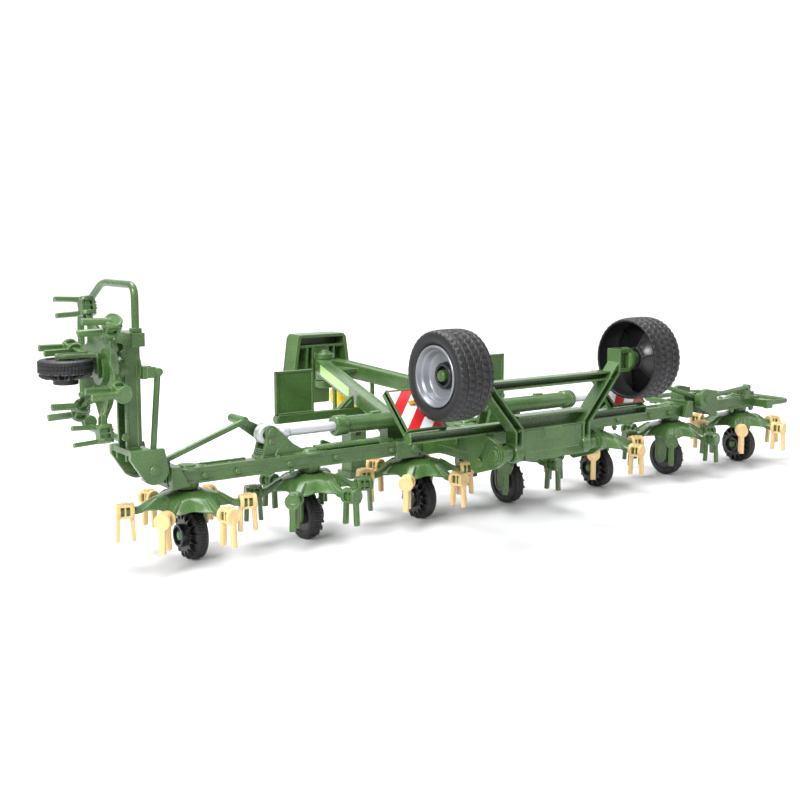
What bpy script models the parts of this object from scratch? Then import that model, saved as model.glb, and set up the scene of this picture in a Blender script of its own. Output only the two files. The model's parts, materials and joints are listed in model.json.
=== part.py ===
"""Toy rotary hay tedder with eight rotors, built from its separate pieces.

Frame: +X to the machine's right, +Y forwards to the hitch, +Z up, the ground at Z = 0.
The model is laid out around the point on the ground under the middle of the rotor
line, and the last step moves it so that the origin is the bottom centre of its box.
"""
import math

import bmesh
import bpy
from mathutils import Matrix, Vector

MM = 0.001
GAP = 0.3 * MM              # between pieces that touch
X_AXIS, Y_AXIS, Z_AXIS = Vector((1, 0, 0)), Vector((0, 1, 0)), Vector((0, 0, 1))

# ---- driving dimensions -------------------------------------------------------------
ROTOR_SPACING = 70 * MM     # between neighbouring rotor axes
ROTORS_PER_SIDE = 4
TINE_CLEARANCE = 1.4 * MM   # between the tine circles of neighbouring rotors
DOME_R = 22.5 * MM
HUB_R = 7 * MM
HUB_HEIGHT = 7.7 * MM
TINE_LENGTH = 15 * MM
HOLDER_R = 4 * MM
HOLDER_LENGTH = 8.6 * MM
TINES_PER_ROTOR = 6
ARM_PHASE = math.radians(44)

WHEEL_R = 12.3 * MM         # rotor wheels
TYRE_WIDTH = 6.5 * MM
TYRE_OFFSET = 2.6 * MM      # tyre centre from the rotor axis
COG_R = 10.3 * MM
COG_WIDTH = 3 * MM
WHEEL_BARREL_R = 5.7 * MM
AXLE_R = 2.5 * MM
LEG_WIDTH = 9 * MM
LEG_THICKNESS = 2 * MM
POST_R = 3.5 * MM           # post that carries the rotor hub
RUNNING_GAP = 0.4 * MM      # round a turning shaft

BEAM_HEIGHT = 9 * MM
BEAM_WIDTH = 10 * MM
WING_HINGE_INSET = 6 * MM       # from the innermost rotor axis out to the wing hinge
OUTER_HINGE_INSET = 48 * MM     # from the outer hinge to the outermost rotor axis
OUTER_HINGE_RISE = 8 * MM       # hinge pin above the beam's centre line
OUTER_FOLD_LEFT = math.radians(90)   # the left outer section stands folded up
HINGE_PIN_R = 1.6 * MM
KNUCKLE_R = 4.5 * MM
EAR_R = 7 * MM

CYLINDER_RISE = 16 * MM     # cylinder axis above the beam's centre line
CYLINDER_Y = 4 * MM
CYLINDER_ROOT_X = 22 * MM
CYLINDER_TUBE_END_X = 87 * MM
CYLINDER_EYE_X = 129 * MM
CYLINDER_TUBE_R = 4.6 * MM
CYLINDER_ROD_R = 2.6 * MM
EYE_R = 5 * MM
EYE_WIDTH = 6 * MM
EAR_THICKNESS = 2 * MM

DRAWBAR_LENGTH = 150 * MM   # rotor line to the headstock's swivel
DRAWBAR_WIDTH = 8 * MM
DRAWBAR_REAR_Y = 9 * MM
DRAWBAR_REAR_X = 44 * MM
SWIVEL_R = 3 * MM
BARREL_R = 6.5 * MM
HOOD_HALF_WIDTH = 18.6 * MM
HOOD_DEPTH = 10 * MM
HOOD_WALL = 2 * MM

CHASSIS_PIVOT_Y = -70 * MM
CHASSIS_PIVOT_RISE = 6 * MM     # above the beam's centre line
CHASSIS_ARM_X = 24 * MM
CHASSIS_ARM_WIDTH = 5 * MM
CHASSIS_ARM_DEPTH = 8 * MM
CHASSIS_PIN_R = 2 * MM
PLATE_X = 35 * MM
PLATE_THICKNESS = 3 * MM

TRANSPORT_R = 22.7 * MM
TRANSPORT_WIDTH = 20 * MM
TRANSPORT_X = 66.7 * MM
TRANSPORT_RISE = 43.3 * MM      # axle above the chassis pivot
TRANSPORT_AXLE_R = 3 * MM
TYRE_WALL = 2.2 * MM
RIM_R = 15.6 * MM

BOARD_SIZE = 25.5 * MM
BOARD_THICKNESS = 2 * MM
BOARD_OUTER_X = 85 * MM
FRONT_BOARD_Y = 67 * MM
REAR_BAR_Y = -58.6 * MM
BOARD_BAR_HEIGHT = 4.8 * MM

RAIL_R = 1.75 * MM          # guard rail tube
ROD_R = 1.5 * MM            # folding rods
PUSH_ROD_Y = -5.7 * MM      # push rod's eye on the outer hinge pin
FOLDING_ROD_Y = -8.6 * MM   # folding rod's eye, next to it
STAND_INSET = 35 * MM       # from the headstock's swivel back to the stand's pivot
STAND_PIVOT_Z = 33 * MM
STAND_WIDTH = 12 * MM
STAND_DEPTH = 11 * MM

# ---- the vertical stack, from the ground up -----------------------------------------
LEG_TOP_Z = 2 * WHEEL_R + 0.6 * MM + 1.8 * MM
HUB_BOTTOM_Z = LEG_TOP_Z + GAP
HUB_TOP_Z = HUB_BOTTOM_Z + HUB_HEIGHT
STUB_Z = HUB_TOP_Z + RUNNING_GAP
BEAM_BOTTOM_Z = STUB_Z + 1.1 * MM
BEAM_Z = BEAM_BOTTOM_Z + BEAM_HEIGHT / 2
BEAM_TOP_Z = BEAM_BOTTOM_Z + BEAM_HEIGHT
HOLDER_Z = HUB_BOTTOM_Z - 0.8 * MM
CYLINDER_Z = BEAM_Z + CYLINDER_RISE
OUTER_HINGE_Z = BEAM_Z + OUTER_HINGE_RISE
CHASSIS_PIVOT_Z = BEAM_Z + CHASSIS_PIVOT_RISE
TRANSPORT_Z = CHASSIS_PIVOT_Z + TRANSPORT_RISE

ROTOR_R = ROTOR_SPACING / 2 - TINE_CLEARANCE / 2
OUTER_ROTOR_X = (ROTORS_PER_SIDE - 0.5) * ROTOR_SPACING
OUTER_HINGE_X = OUTER_ROTOR_X - OUTER_HINGE_INSET
WING_HINGE_X = ROTOR_SPACING / 2 + WING_HINGE_INSET
STAND_PIVOT_Y = DRAWBAR_LENGTH - STAND_INSET
SIDES = {"left": -1, "right": 1}
FINE, COARSE = 16, 8        # sides of large and of small round pieces

COLOURS = {
    "green": ((0.055, 0.18, 0.045), 0.42, 0.0),
    "beige": ((0.72, 0.52, 0.27), 0.5, 0.0),
    "black": ((0.015, 0.015, 0.017), 0.6, 0.0),
    "silver": ((0.55, 0.56, 0.58), 0.35, 0.6),
    "yellow": ((0.85, 0.6, 0.02), 0.4, 0.0),
    "board": ((0.75, 0.08, 0.06), 0.4, 0.0),
}


# ---- modelling helpers --------------------------------------------------------------
def at(x, y, z):
    return Vector((x, y, z))


def box(low, high):
    """A closed box between two corners."""
    low, high = Vector(low), Vector(high)
    shape = bmesh.new()
    size = high - low
    matrix = Matrix.Translation((low + high) / 2) @ Matrix.Diagonal((*size, 1))
    bmesh.ops.create_cube(shape, size=1, matrix=matrix)
    return shape


def centred_box(centre, size):
    half = Vector(size) / 2
    return box(Vector(centre) - half, Vector(centre) + half)


def lathe(profile, centre, axis, sides=FINE):
    """Turn (radius, distance along the axis) points, a closed loop, round the axis."""
    shape = bmesh.new()
    turn = Z_AXIS.rotation_difference(Vector(axis)).to_matrix().to_4x4()
    place = Matrix.Translation(Vector(centre)) @ turn
    rings = []
    for radius, along in profile:
        if radius < 1e-7:
            rings.append([shape.verts.new((0, 0, along))])
            continue
        ring = []
        for step in range(sides):
            angle = 2 * math.pi * step / sides
            ring.append(shape.verts.new((radius * math.cos(angle), radius * math.sin(angle), along)))
        rings.append(ring)
    for ring, after in zip(rings, rings[1:] + rings[:1]):
        for step in range(sides):
            corners = []
            for point in (ring[step % len(ring)], ring[(step + 1) % len(ring)],
                          after[(step + 1) % len(after)], after[step % len(after)]):
                if point not in corners:
                    corners.append(point)
            if len(corners) > 2:
                shape.faces.new(corners)
    bmesh.ops.transform(shape, matrix=place, verts=shape.verts)
    bmesh.ops.recalc_face_normals(shape, faces=shape.faces)
    return shape


def rod(start, end, radius, sides=COARSE):
    """A straight round bar between two points."""
    start, end = Vector(start), Vector(end)
    length = (end - start).length
    profile = [(0, 0), (radius, 0), (radius, length), (0, length)]
    return lathe(profile, start, (end - start).normalized(), sides)


def ring(centre, axis, outer, inner, width, sides=FINE):
    """A ring of square section whose middle is at the centre."""
    profile = [(inner, -width / 2), (outer, -width / 2), (outer, width / 2), (inner, width / 2)]
    return lathe(profile, centre, axis, sides)


def prism(outline, axis, low, high):
    """Push a flat outline along X, Y or Z. The outline gives the other two values in order."""
    shape = bmesh.new()
    position = "XYZ".index(axis)
    layers = []
    for depth in (low, high):
        layer = []
        for first, second in outline:
            point = [first, second]
            point.insert(position, depth)
            layer.append(shape.verts.new(point))
        layers.append(layer)
    shape.faces.new(layers[0])
    shape.faces.new(layers[1])
    count = len(outline)
    for step in range(count):
        after = (step + 1) % count
        shape.faces.new((layers[0][step], layers[0][after], layers[1][after], layers[1][step]))
    bmesh.ops.recalc_face_normals(shape, faces=shape.faces)
    return shape


def arc(centre, radius, start, end, steps=6):
    """Points on a circle, from one angle to another in degrees."""
    points = []
    for step in range(steps + 1):
        angle = math.radians(start + (end - start) * step / steps)
        points.append((centre[0] + radius * math.cos(angle), centre[1] + radius * math.sin(angle)))
    return points


def bar(start, end, width, height, up=Z_AXIS):
    """A straight bar of rectangular section: its height is along up."""
    start, end = Vector(start), Vector(end)
    along = (end - start).normalized()
    across = along.cross(up).normalized()
    rise = across.cross(along)
    shape = bmesh.new()
    bmesh.ops.create_cube(shape, size=1)
    turn = Matrix((across, along, rise)).transposed().to_4x4()
    scale = Matrix.Diagonal((width, (end - start).length, height, 1))
    matrix = Matrix.Translation((start + end) / 2) @ turn @ scale
    bmesh.ops.transform(shape, matrix=matrix, verts=shape.verts)
    bmesh.ops.recalc_face_normals(shape, faces=shape.faces)
    return shape


def tube(points, radius, sides=6):
    """A round tube with closed ends along a line of points."""
    points = [Vector(point) for point in points]
    shape = bmesh.new()
    rings = []
    for index, point in enumerate(points):
        before = points[max(index - 1, 0)]
        after = points[min(index + 1, len(points) - 1)]
        along = (after - before).normalized()
        side = along.cross(Z_AXIS)
        if side.length < 0.1:
            side = along.cross(Y_AXIS)
        side.normalize()
        other = along.cross(side)
        loop = []
        for step in range(sides):
            angle = 2 * math.pi * step / sides
            offset = side * math.cos(angle) + other * math.sin(angle)
            loop.append(shape.verts.new(point + offset * radius))
        rings.append(loop)
    for loop, after in zip(rings, rings[1:]):
        for step in range(sides):
            following = (step + 1) % sides
            shape.faces.new((loop[step], loop[following], after[following], after[step]))
    shape.faces.new(rings[0])
    shape.faces.new(rings[-1])
    bmesh.ops.recalc_face_normals(shape, faces=shape.faces)
    return shape


def rounded(points, radius, steps=3):
    """Replace each inner corner of a line of points by a short arc."""
    points = [Vector(point) for point in points]
    result = [points[0]]
    for before, corner, after in zip(points, points[1:], points[2:]):
        start = corner + (before - corner).normalized() * radius
        end = corner + (after - corner).normalized() * radius
        for step in range(steps + 1):
            share = step / steps
            result.append(start.lerp(corner, share).lerp(corner.lerp(end, share), share))
    result.append(points[-1])
    return result


def turned(shape, angle, axis, centre):
    matrix = Matrix.Translation(centre) @ Matrix.Rotation(angle, 4, axis) @ Matrix.Translation(-centre)
    bmesh.ops.transform(shape, matrix=matrix, verts=shape.verts)
    return shape


def as_object(shape, collection):
    mesh = bpy.data.meshes.new("shape")
    shape.to_mesh(mesh)
    shape.free()
    piece = bpy.data.objects.new("shape", mesh)
    collection.objects.link(piece)
    piece.hide_render = True
    piece.display_type = "WIRE"
    return piece


def combine(shapes, cuts=()):
    """Union the shapes into one closed body, take the cuts away, and return its mesh."""
    stock, added, removed = [bpy.data.collections.new(name) for name in ("stock", "added", "removed")]
    for collection in (stock, added, removed):
        bpy.context.scene.collection.children.link(collection)
    body = as_object(shapes[0], stock)
    for shape in shapes[1:]:
        as_object(shape, added)
    for shape in cuts:
        as_object(shape, removed)
    for collection, operation in ((added, "UNION"), (removed, "DIFFERENCE")):
        if collection.objects:
            modifier = body.modifiers.new(operation.lower(), "BOOLEAN")
            modifier.operation = operation
            modifier.operand_type = "COLLECTION"
            modifier.collection = collection
            modifier.solver = "EXACT"
    bpy.context.view_layer.update()
    evaluated = body.evaluated_get(bpy.context.evaluated_depsgraph_get())
    mesh = bpy.data.meshes.new_from_object(evaluated)
    for collection in (stock, added, removed):
        for piece in list(collection.objects):
            bpy.data.objects.remove(piece, do_unlink=True)
        bpy.data.collections.remove(collection)
    return mesh


MATERIALS = {}
BODIES = {}


def material(name):
    if name not in MATERIALS:
        colour, roughness, metallic = COLOURS[name]
        made = bpy.data.materials.new(name)
        made.use_nodes = True
        shader = made.node_tree.nodes["Principled BSDF"]
        shader.inputs["Base Color"].default_value = (*colour, 1)
        shader.inputs["Roughness"].default_value = roughness
        shader.inputs["Metallic"].default_value = metallic
        made.diffuse_color = (*colour, 1)
        MATERIALS[name] = made
    return MATERIALS[name]


def body(name, pivot, parent=None):
    """An empty on a joint's axis. The pieces of one moving body hang from it."""
    empty = bpy.data.objects.new(f"{name}_joint", None)
    bpy.context.scene.collection.objects.link(empty)
    empty.empty_display_size = 10 * MM
    pivot = Vector(pivot)
    if parent:
        empty.parent = BODIES[parent][0]
        empty.location = pivot - BODIES[parent][1]
    else:
        empty.location = pivot
    BODIES[name] = (empty, pivot)


def piece(name, body_name, finish, shapes, cuts=()):
    """A named solid of one body, with its origin on that body's joint."""
    mesh = combine(shapes, cuts)
    empty, pivot = BODIES[body_name]
    mesh.transform(Matrix.Translation(-pivot))
    mesh.name = name
    mesh.materials.clear()
    mesh.materials.append(material(finish))
    mesh.shade_smooth()
    mesh.set_sharp_from_angle(angle=math.radians(35))
    made = bpy.data.objects.new(name, mesh)
    bpy.context.scene.collection.objects.link(made)
    made.parent = empty
    return made


# ---- rotors, their wheels and legs ---------------------------------------------------
def rotor_name(side, number):
    """Numbered from the middle outwards, such as left_1 for the inner left rotor."""
    return f"{side}_{number}"


def tine_holder(centre_x, angle):
    """One holder on its arm, with two hanging tines, before it is turned to its place."""
    disc = HOLDER_LENGTH / 4
    r, half = HOLDER_R, HOLDER_R * 0.33
    outline = [(-half, -TINE_LENGTH), (half, -TINE_LENGTH), (half, -0.9 * r), (r, -0.2 * r),
               (0.6 * r, 0.9 * r), (-0.6 * r, 0.9 * r), (-r, -0.2 * r), (-half, -0.9 * r)]
    outline = [(y, HOLDER_Z + z) for y, z in outline]
    shapes = []
    for end in (-1, 1):
        x = centre_x + end * (HOLDER_LENGTH - disc) / 2
        shapes.append(prism(outline, "X", x - disc / 2, x + disc / 2))
    arm_half, arm_height = 0.55 * r, 3.6 * MM
    shapes.append(box((DOME_R * 0.75, -arm_half, HOLDER_Z - arm_height / 2),
                      (centre_x + HOLDER_LENGTH / 2 - disc / 2, arm_half, HOLDER_Z + arm_height / 2)))
    for shape in shapes:
        turned(shape, angle, "Z", Vector())
    return shapes


def rotor(name, body_name, x):
    """Dome, hub, curved skirt and six tine holders, all turning round the post."""
    skin = 1.6 * MM
    rim_z = HUB_BOTTOM_Z + 0.5 * MM
    bore = POST_R + RUNNING_GAP
    dome = [(bore, HUB_BOTTOM_Z), (HUB_R, HUB_BOTTOM_Z), (HUB_R + 1 * MM, HUB_TOP_Z - 3.5 * MM),
            (DOME_R - skin, rim_z - skin), (DOME_R, rim_z - skin), (DOME_R * 0.7, rim_z + 4 * MM),
            (HUB_R, HUB_TOP_Z), (bore, HUB_TOP_Z)]
    shapes = [lathe(dome, (0, 0, 0), Z_AXIS, 12)]
    holder_x = ROTOR_R - HOLDER_LENGTH / 2
    for step in range(TINES_PER_ROTOR):
        shapes += tine_holder(holder_x, ARM_PHASE + step * 2 * math.pi / TINES_PER_ROTOR)
    for shape in shapes:
        bmesh.ops.transform(shape, matrix=Matrix.Translation((x, 0, 0)), verts=shape.verts)
    return piece(f"rotor_{name}", body_name, "green", shapes)


def rotor_wheel(name, body_name, x, tyre_side):
    """Tyre with the driving cog and its barrel on the other side."""
    axle = at(x, 0, WHEEL_R)
    bore = AXLE_R + RUNNING_GAP
    inner = TYRE_OFFSET - TYRE_WIDTH / 2
    outer = inner + TYRE_WIDTH
    cog = inner - COG_WIDTH
    bevel = 1 * MM
    profile = [(bore, cog - 2 * MM), (WHEEL_BARREL_R, cog - 2 * MM), (WHEEL_BARREL_R, cog), (COG_R, cog),
               (COG_R, inner), (WHEEL_R - bevel, inner), (WHEEL_R, inner + bevel), (WHEEL_R, outer - bevel),
               (WHEEL_R - bevel, outer), (bore, outer - 1 * MM)]
    return piece(f"wheel_{name}", body_name, "black", [lathe(profile, axle, X_AXIS * tyre_side)])


def wheel_leg(name, body_name, x, tyre_side):
    """Leg beside the tyre, bridge over it, the post up to the gearbox, and the axle."""
    inside = x + tyre_side * (TYRE_OFFSET + TYRE_WIDTH / 2 + GAP)
    outside = inside + tyre_side * LEG_THICKNESS
    half = LEG_WIDTH / 2
    outline = [(half, LEG_TOP_Z)] + arc((0, WHEEL_R), half, 0, -180, 5) + [(-half, LEG_TOP_Z)]
    leg = prism(outline, "X", min(inside, outside), max(inside, outside))
    far = x - tyre_side * POST_R
    bridge = box((min(far, outside), -half, 2 * WHEEL_R + 0.6 * MM), (max(far, outside), half, LEG_TOP_Z))
    post = rod((x, 0, LEG_TOP_Z - 1 * MM), (x, 0, STUB_Z - GAP / 2), POST_R)
    axle_end = x + tyre_side * (TYRE_OFFSET - TYRE_WIDTH / 2 - COG_WIDTH - 2 * MM)
    shaft = rod((inside + tyre_side * LEG_THICKNESS / 2, 0, WHEEL_R), (axle_end, 0, WHEEL_R), AXLE_R)
    return piece(f"wheel_leg_{name}", body_name, "green", [leg, bridge, post, shaft])


def rotor_unit(side, number, section):
    """A rotor, its wheel and its leg, on the centre frame, a wing or an outer section."""
    name = rotor_name(side, number)
    x = SIDES[side] * (number - 0.5) * ROTOR_SPACING
    # Tyres lie to +X on every other rotor, so each inner pair of neighbours mirrors.
    index = number if side == "right" else number + 1
    tyre_side = 1 if index % 2 == 0 else -1
    wheel_leg(name, section, x, tyre_side)
    body(f"rotor_{name}_turning", (x, 0, HUB_BOTTOM_Z), section)
    rotor(name, f"rotor_{name}_turning", x)
    body(f"wheel_{name}_turning", (x, 0, WHEEL_R), section)
    rotor_wheel(name, f"wheel_{name}_turning", x, tyre_side)


def gearbox(x):
    """Round housing under and on the beam at one rotor."""
    return [rod((x, 0, STUB_Z), (x, 0, BEAM_BOTTOM_Z + 1 * MM), HUB_R, COARSE),
            rod((x, 0, BEAM_TOP_Z - 1 * MM), (x, 0, BEAM_TOP_Z + 1.5 * MM), HUB_R * 0.9, COARSE)]


def beam(x_from, x_to):
    low, high = sorted((x_from, x_to))
    return box((low, -BEAM_WIDTH / 2, BEAM_BOTTOM_Z), (high, BEAM_WIDTH / 2, BEAM_TOP_Z))


# ---- centre frame ---------------------------------------------------------------------
def centre_frame():
    """Middle beam with the main gearbox, the wing hinges and the arms to the rear plates."""
    inner_x = ROTOR_SPACING / 2
    beam_end = WING_HINGE_X - KNUCKLE_R - 0.7 * MM
    lug = 6.4 * MM
    shapes = [beam(-beam_end, beam_end)]
    shapes.append(box((-9 * MM, -9 * MM, STUB_Z - 1 * MM), (9 * MM, 12 * MM, BEAM_TOP_Z + 4 * MM)))
    bridge_height = 4 * MM
    for sign in SIDES.values():
        shapes.append(rod((sign * inner_x, 0, STUB_Z),
                          (sign * inner_x, 0, BEAM_BOTTOM_Z + 0.5 * MM), HUB_R * 0.72))
        shapes.append(rod((sign * WING_HINGE_X, -lug / 2, BEAM_Z),
                          (sign * WING_HINGE_X, lug / 2, BEAM_Z), KNUCKLE_R, 12))
        shapes.append(rod((sign * WING_HINGE_X, -BEAM_WIDTH * 0.75, BEAM_Z),
                          (sign * WING_HINGE_X, BEAM_WIDTH * 0.75, BEAM_Z), HINGE_PIN_R))
        low, high = sorted((sign * WING_HINGE_X, sign * (beam_end - 2 * MM)))
        shapes.append(box((low, -lug / 2, BEAM_Z - KNUCKLE_R * 0.9), (high, lug / 2, BEAM_Z + KNUCKLE_R * 0.9)))
        # arm back to the pivot plate
        inner_face = PLATE_X - PLATE_THICKNESS / 2 - GAP
        low, high = sorted((sign * (inner_face - 6 * MM), sign * inner_face))
        outline = [(2 * MM, BEAM_BOTTOM_Z + 2 * MM), (2 * MM, BEAM_TOP_Z + 3 * MM),
                   (-20 * MM, BEAM_TOP_Z + 8.5 * MM), (-55 * MM, BEAM_TOP_Z + 9 * MM),
                   (-58 * MM, BEAM_TOP_Z + 3 * MM), (-50 * MM, BEAM_Z - 2 * MM),
                   (-20 * MM, BEAM_Z - 1 * MM), (-9 * MM, BEAM_BOTTOM_Z + 2 * MM)]
        shapes.append(prism(outline, "X", low, high))
        # ears that hold the lift cylinder's foot
        for y_side in (-1, 1):
            y = CYLINDER_Y + y_side * (EYE_WIDTH / 2 + GAP + EAR_THICKNESS / 2)
            outline = [(sign * (CYLINDER_ROOT_X + 5 * MM), BEAM_TOP_Z - 1 * MM)]
            outline += [(sign * (CYLINDER_ROOT_X + 4 * MM), CYLINDER_Z)]
            outline += [(sign * (CYLINDER_ROOT_X + 2.5 * MM), CYLINDER_Z + 3.5 * MM)]
            outline += [(sign * (CYLINDER_ROOT_X - 2.5 * MM), CYLINDER_Z + 3.5 * MM)]
            outline += [(sign * (CYLINDER_ROOT_X - 7 * MM), BEAM_TOP_Z - 1 * MM)]
            shapes.append(prism(outline, "Y", y - EAR_THICKNESS / 2, y + EAR_THICKNESS / 2))
        low, high = sorted((sign * (CYLINDER_ROOT_X - 7 * MM), sign * (CYLINDER_ROOT_X + 5 * MM)))
        reach = CYLINDER_Y + EYE_WIDTH / 2 + GAP + EAR_THICKNESS
        shapes.append(box((low, CYLINDER_Y - EYE_WIDTH / 2 - EAR_THICKNESS - GAP, BEAM_TOP_Z - 2 * MM),
                          (high, reach, BEAM_TOP_Z + 1 * MM)))
        shapes.append(rod((sign * CYLINDER_ROOT_X, CYLINDER_Y - EYE_WIDTH / 2 - 1 * MM, CYLINDER_Z),
                          (sign * CYLINDER_ROOT_X, CYLINDER_Y + EYE_WIDTH / 2 + 1 * MM, CYLINDER_Z), HINGE_PIN_R))
    # cross member between the two arms, and the seat of the drawbar
    shapes.append(box((-PLATE_X + 5 * MM, -38 * MM, BEAM_TOP_Z), (PLATE_X - 5 * MM, -28 * MM, BEAM_TOP_Z + 7 * MM)))
    seat_top = drawbar_edges(DRAWBAR_REAR_Y)[0] - GAP
    shapes.append(box((-PLATE_X + 4 * MM, BEAM_WIDTH / 2 - 2 * MM, BEAM_Z + 2 * GAP),
                      (PLATE_X - 4 * MM, DRAWBAR_REAR_Y + 8 * MM, BEAM_Z + bridge_height)))
    shapes.append(box((-DRAWBAR_REAR_X - 4 * MM, DRAWBAR_REAR_Y, BEAM_Z + 1 * MM),
                      (DRAWBAR_REAR_X + 4 * MM, DRAWBAR_REAR_Y + 8 * MM, seat_top)))
    return piece("centre_frame", "chassis_root", "green", shapes)


# ---- drawbar, headstock, stand and drive shaft ------------------------------------------
DRAWBAR_REAR_BOTTOM = BEAM_TOP_Z + 4.5 * MM
DRAWBAR_REAR_TOP = BEAM_TOP_Z + 12 * MM
DRAWBAR_FRONT_BOTTOM = BEAM_TOP_Z + 15.5 * MM
DRAWBAR_FRONT_TOP = BEAM_TOP_Z + 29 * MM
DRAWBAR_FRONT_Y = DRAWBAR_LENGTH - 4 * MM
DRAWBAR_FRONT_X = 5 * MM


def drawbar_edges(y):
    """Bottom and top height of the drawbar's legs at one place along it."""
    share = (y - DRAWBAR_REAR_Y) / (DRAWBAR_FRONT_Y - DRAWBAR_REAR_Y)
    bottom = DRAWBAR_REAR_BOTTOM + share * (DRAWBAR_FRONT_BOTTOM - DRAWBAR_REAR_BOTTOM)
    top = DRAWBAR_REAR_TOP + share * (DRAWBAR_FRONT_TOP - DRAWBAR_REAR_TOP)
    return bottom, top


def drawbar_x(y):
    """Distance of a leg's middle from the centre line."""
    share = (y - DRAWBAR_REAR_Y) / (DRAWBAR_FRONT_Y - DRAWBAR_REAR_Y)
    return DRAWBAR_REAR_X + share * (DRAWBAR_FRONT_X - DRAWBAR_REAR_X)


def swivel_faces():
    """Bottom and top of the block at the drawbar's tip."""
    return drawbar_edges(DRAWBAR_FRONT_Y - 9 * MM)[0], drawbar_edges(DRAWBAR_FRONT_Y)[1]


def leg_of_drawbar(sign):
    half = DRAWBAR_WIDTH / 2
    shape = bmesh.new()
    corners = []
    for y in (DRAWBAR_REAR_Y, DRAWBAR_FRONT_Y):
        x = drawbar_x(y)
        bottom, top = drawbar_edges(y)
        for dx, z in ((-half, bottom), (half, bottom), (half, top), (-half, top)):
            corners.append(shape.verts.new((sign * (x + dx), y, z)))
    for face in ((0, 1, 2, 3), (4, 5, 6, 7), (0, 1, 5, 4), (1, 2, 6, 5), (2, 3, 7, 6), (3, 0, 4, 7)):
        shape.faces.new([corners[index] for index in face])
    bmesh.ops.recalc_face_normals(shape, faces=shape.faces)
    return shape


def drawbar():
    """Two legs that meet at the swivel barrel, with the bracket of the parking stand."""
    swivel_bottom, swivel_top = swivel_faces()
    middle = (swivel_bottom + swivel_top) / 2
    barrel_height = swivel_top - swivel_bottom - 1 * MM
    shapes = [leg_of_drawbar(-1), leg_of_drawbar(1)]
    shapes.append(box((-DRAWBAR_FRONT_X - 3.9 * MM, DRAWBAR_FRONT_Y - 9 * MM, swivel_bottom),
                      (DRAWBAR_FRONT_X + 3.9 * MM, DRAWBAR_FRONT_Y - 1 * MM, swivel_top)))
    shapes.append(rod((0, DRAWBAR_LENGTH, middle - barrel_height / 2),
                      (0, DRAWBAR_LENGTH, middle + barrel_height / 2), BARREL_R))
    bore = rod((0, DRAWBAR_LENGTH, middle - barrel_height), (0, DRAWBAR_LENGTH, middle + barrel_height),
               SWIVEL_R + RUNNING_GAP)
    # bracket that reaches round the drive shaft, down to the stand's pivot
    leg_bottom = drawbar_edges(STAND_PIVOT_Y)[0]
    reach = drawbar_x(STAND_PIVOT_Y) + 1 * MM
    strap, depth = 2.2 * MM, 8 * MM
    tongue = STAND_WIDTH / 6
    yoke_z = STAND_PIVOT_Z + STAND_DEPTH / 2 + strap + GAP
    for sign in (-1, 1):
        low, high = sorted((sign * reach, sign * (reach - strap)))
        shapes.append(box((low, STAND_PIVOT_Y - depth / 2, yoke_z),
                          (high, STAND_PIVOT_Y + depth / 2, leg_bottom + 2 * MM)))
    shapes.append(box((-reach, STAND_PIVOT_Y - depth / 2, yoke_z - strap),
                      (reach, STAND_PIVOT_Y + depth / 2, yoke_z)))
    outline = [(-depth / 2, yoke_z - strap / 2), (-depth / 2, STAND_PIVOT_Z)]
    outline += arc((0, STAND_PIVOT_Z), depth / 2, 180, 360)[1:] + [(depth / 2, yoke_z - strap / 2)]
    outline = [(STAND_PIVOT_Y + y, z) for y, z in outline]
    shapes.append(prism(outline, "X", -tongue, tongue))
    shapes.append(rod((-STAND_WIDTH / 2 - 1 * MM, STAND_PIVOT_Y, STAND_PIVOT_Z),
                      (STAND_WIDTH / 2 + 1 * MM, STAND_PIVOT_Y, STAND_PIVOT_Z), HINGE_PIN_R))
    return piece("drawbar", "chassis_root", "green", shapes, [bore])


def headstock():
    """Hood and column on a swivel pin through the drawbar's barrel."""
    swivel_bottom, swivel_top = swivel_faces()
    column_y = DRAWBAR_LENGTH + BARREL_R + 1 * MM
    front = column_y + HOOD_DEPTH
    hood_top = swivel_top + 16.5 * MM
    hood_bottom = swivel_bottom + 4 * MM
    flare = 4 * MM
    half = HOOD_HALF_WIDTH
    outer = [(-half - flare, hood_bottom), (-half, hood_top), (half, hood_top), (half + flare, hood_bottom)]
    inner = [(half + flare - HOOD_WALL, hood_bottom), (half - HOOD_WALL, hood_top - HOOD_WALL),
             (-half + HOOD_WALL, hood_top - HOOD_WALL), (-half - flare + HOOD_WALL, hood_bottom)]
    shapes = [prism(outer + inner, "Y", column_y, front - HOOD_WALL / 2),
              prism(outer, "Y", front - HOOD_WALL, front)]
    column_bottom = swivel_bottom - 16 * MM
    shapes.append(box((-7 * MM, column_y + 2 * MM, column_bottom), (7 * MM, front - 1 * MM, hood_top - 1 * MM)))
    shapes.append(box((-half + 0.5 * MM, column_y + 1 * MM, hood_top - 9 * MM),
                      (half - 0.5 * MM, front - 0.5 * MM, hood_top - 7.5 * MM)))
    jaws = [(swivel_top + 0.2 * MM, swivel_top + 4 * MM), (swivel_bottom - 5 * MM, swivel_bottom - 0.2 * MM)]
    for low, high in jaws:
        shapes.append(box((-5 * MM, DRAWBAR_LENGTH, low), (5 * MM, front - 2 * MM, high)))
        shapes.append(rod((0, DRAWBAR_LENGTH, low), (0, DRAWBAR_LENGTH, high), BARREL_R))
    shapes.append(rod((0, DRAWBAR_LENGTH, swivel_bottom - 1 * MM),
                      (0, DRAWBAR_LENGTH, swivel_top + 1 * MM), SWIVEL_R))
    holes = []
    for drop in (5 * MM, 10 * MM):
        z = column_bottom + drop
        middle_y = (column_y + front) / 2
        holes.append(rod((-10 * MM, middle_y, z), (10 * MM, middle_y, z), 1 * MM, 8))
    return piece("headstock", "headstock", "green", shapes, holes)


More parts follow.
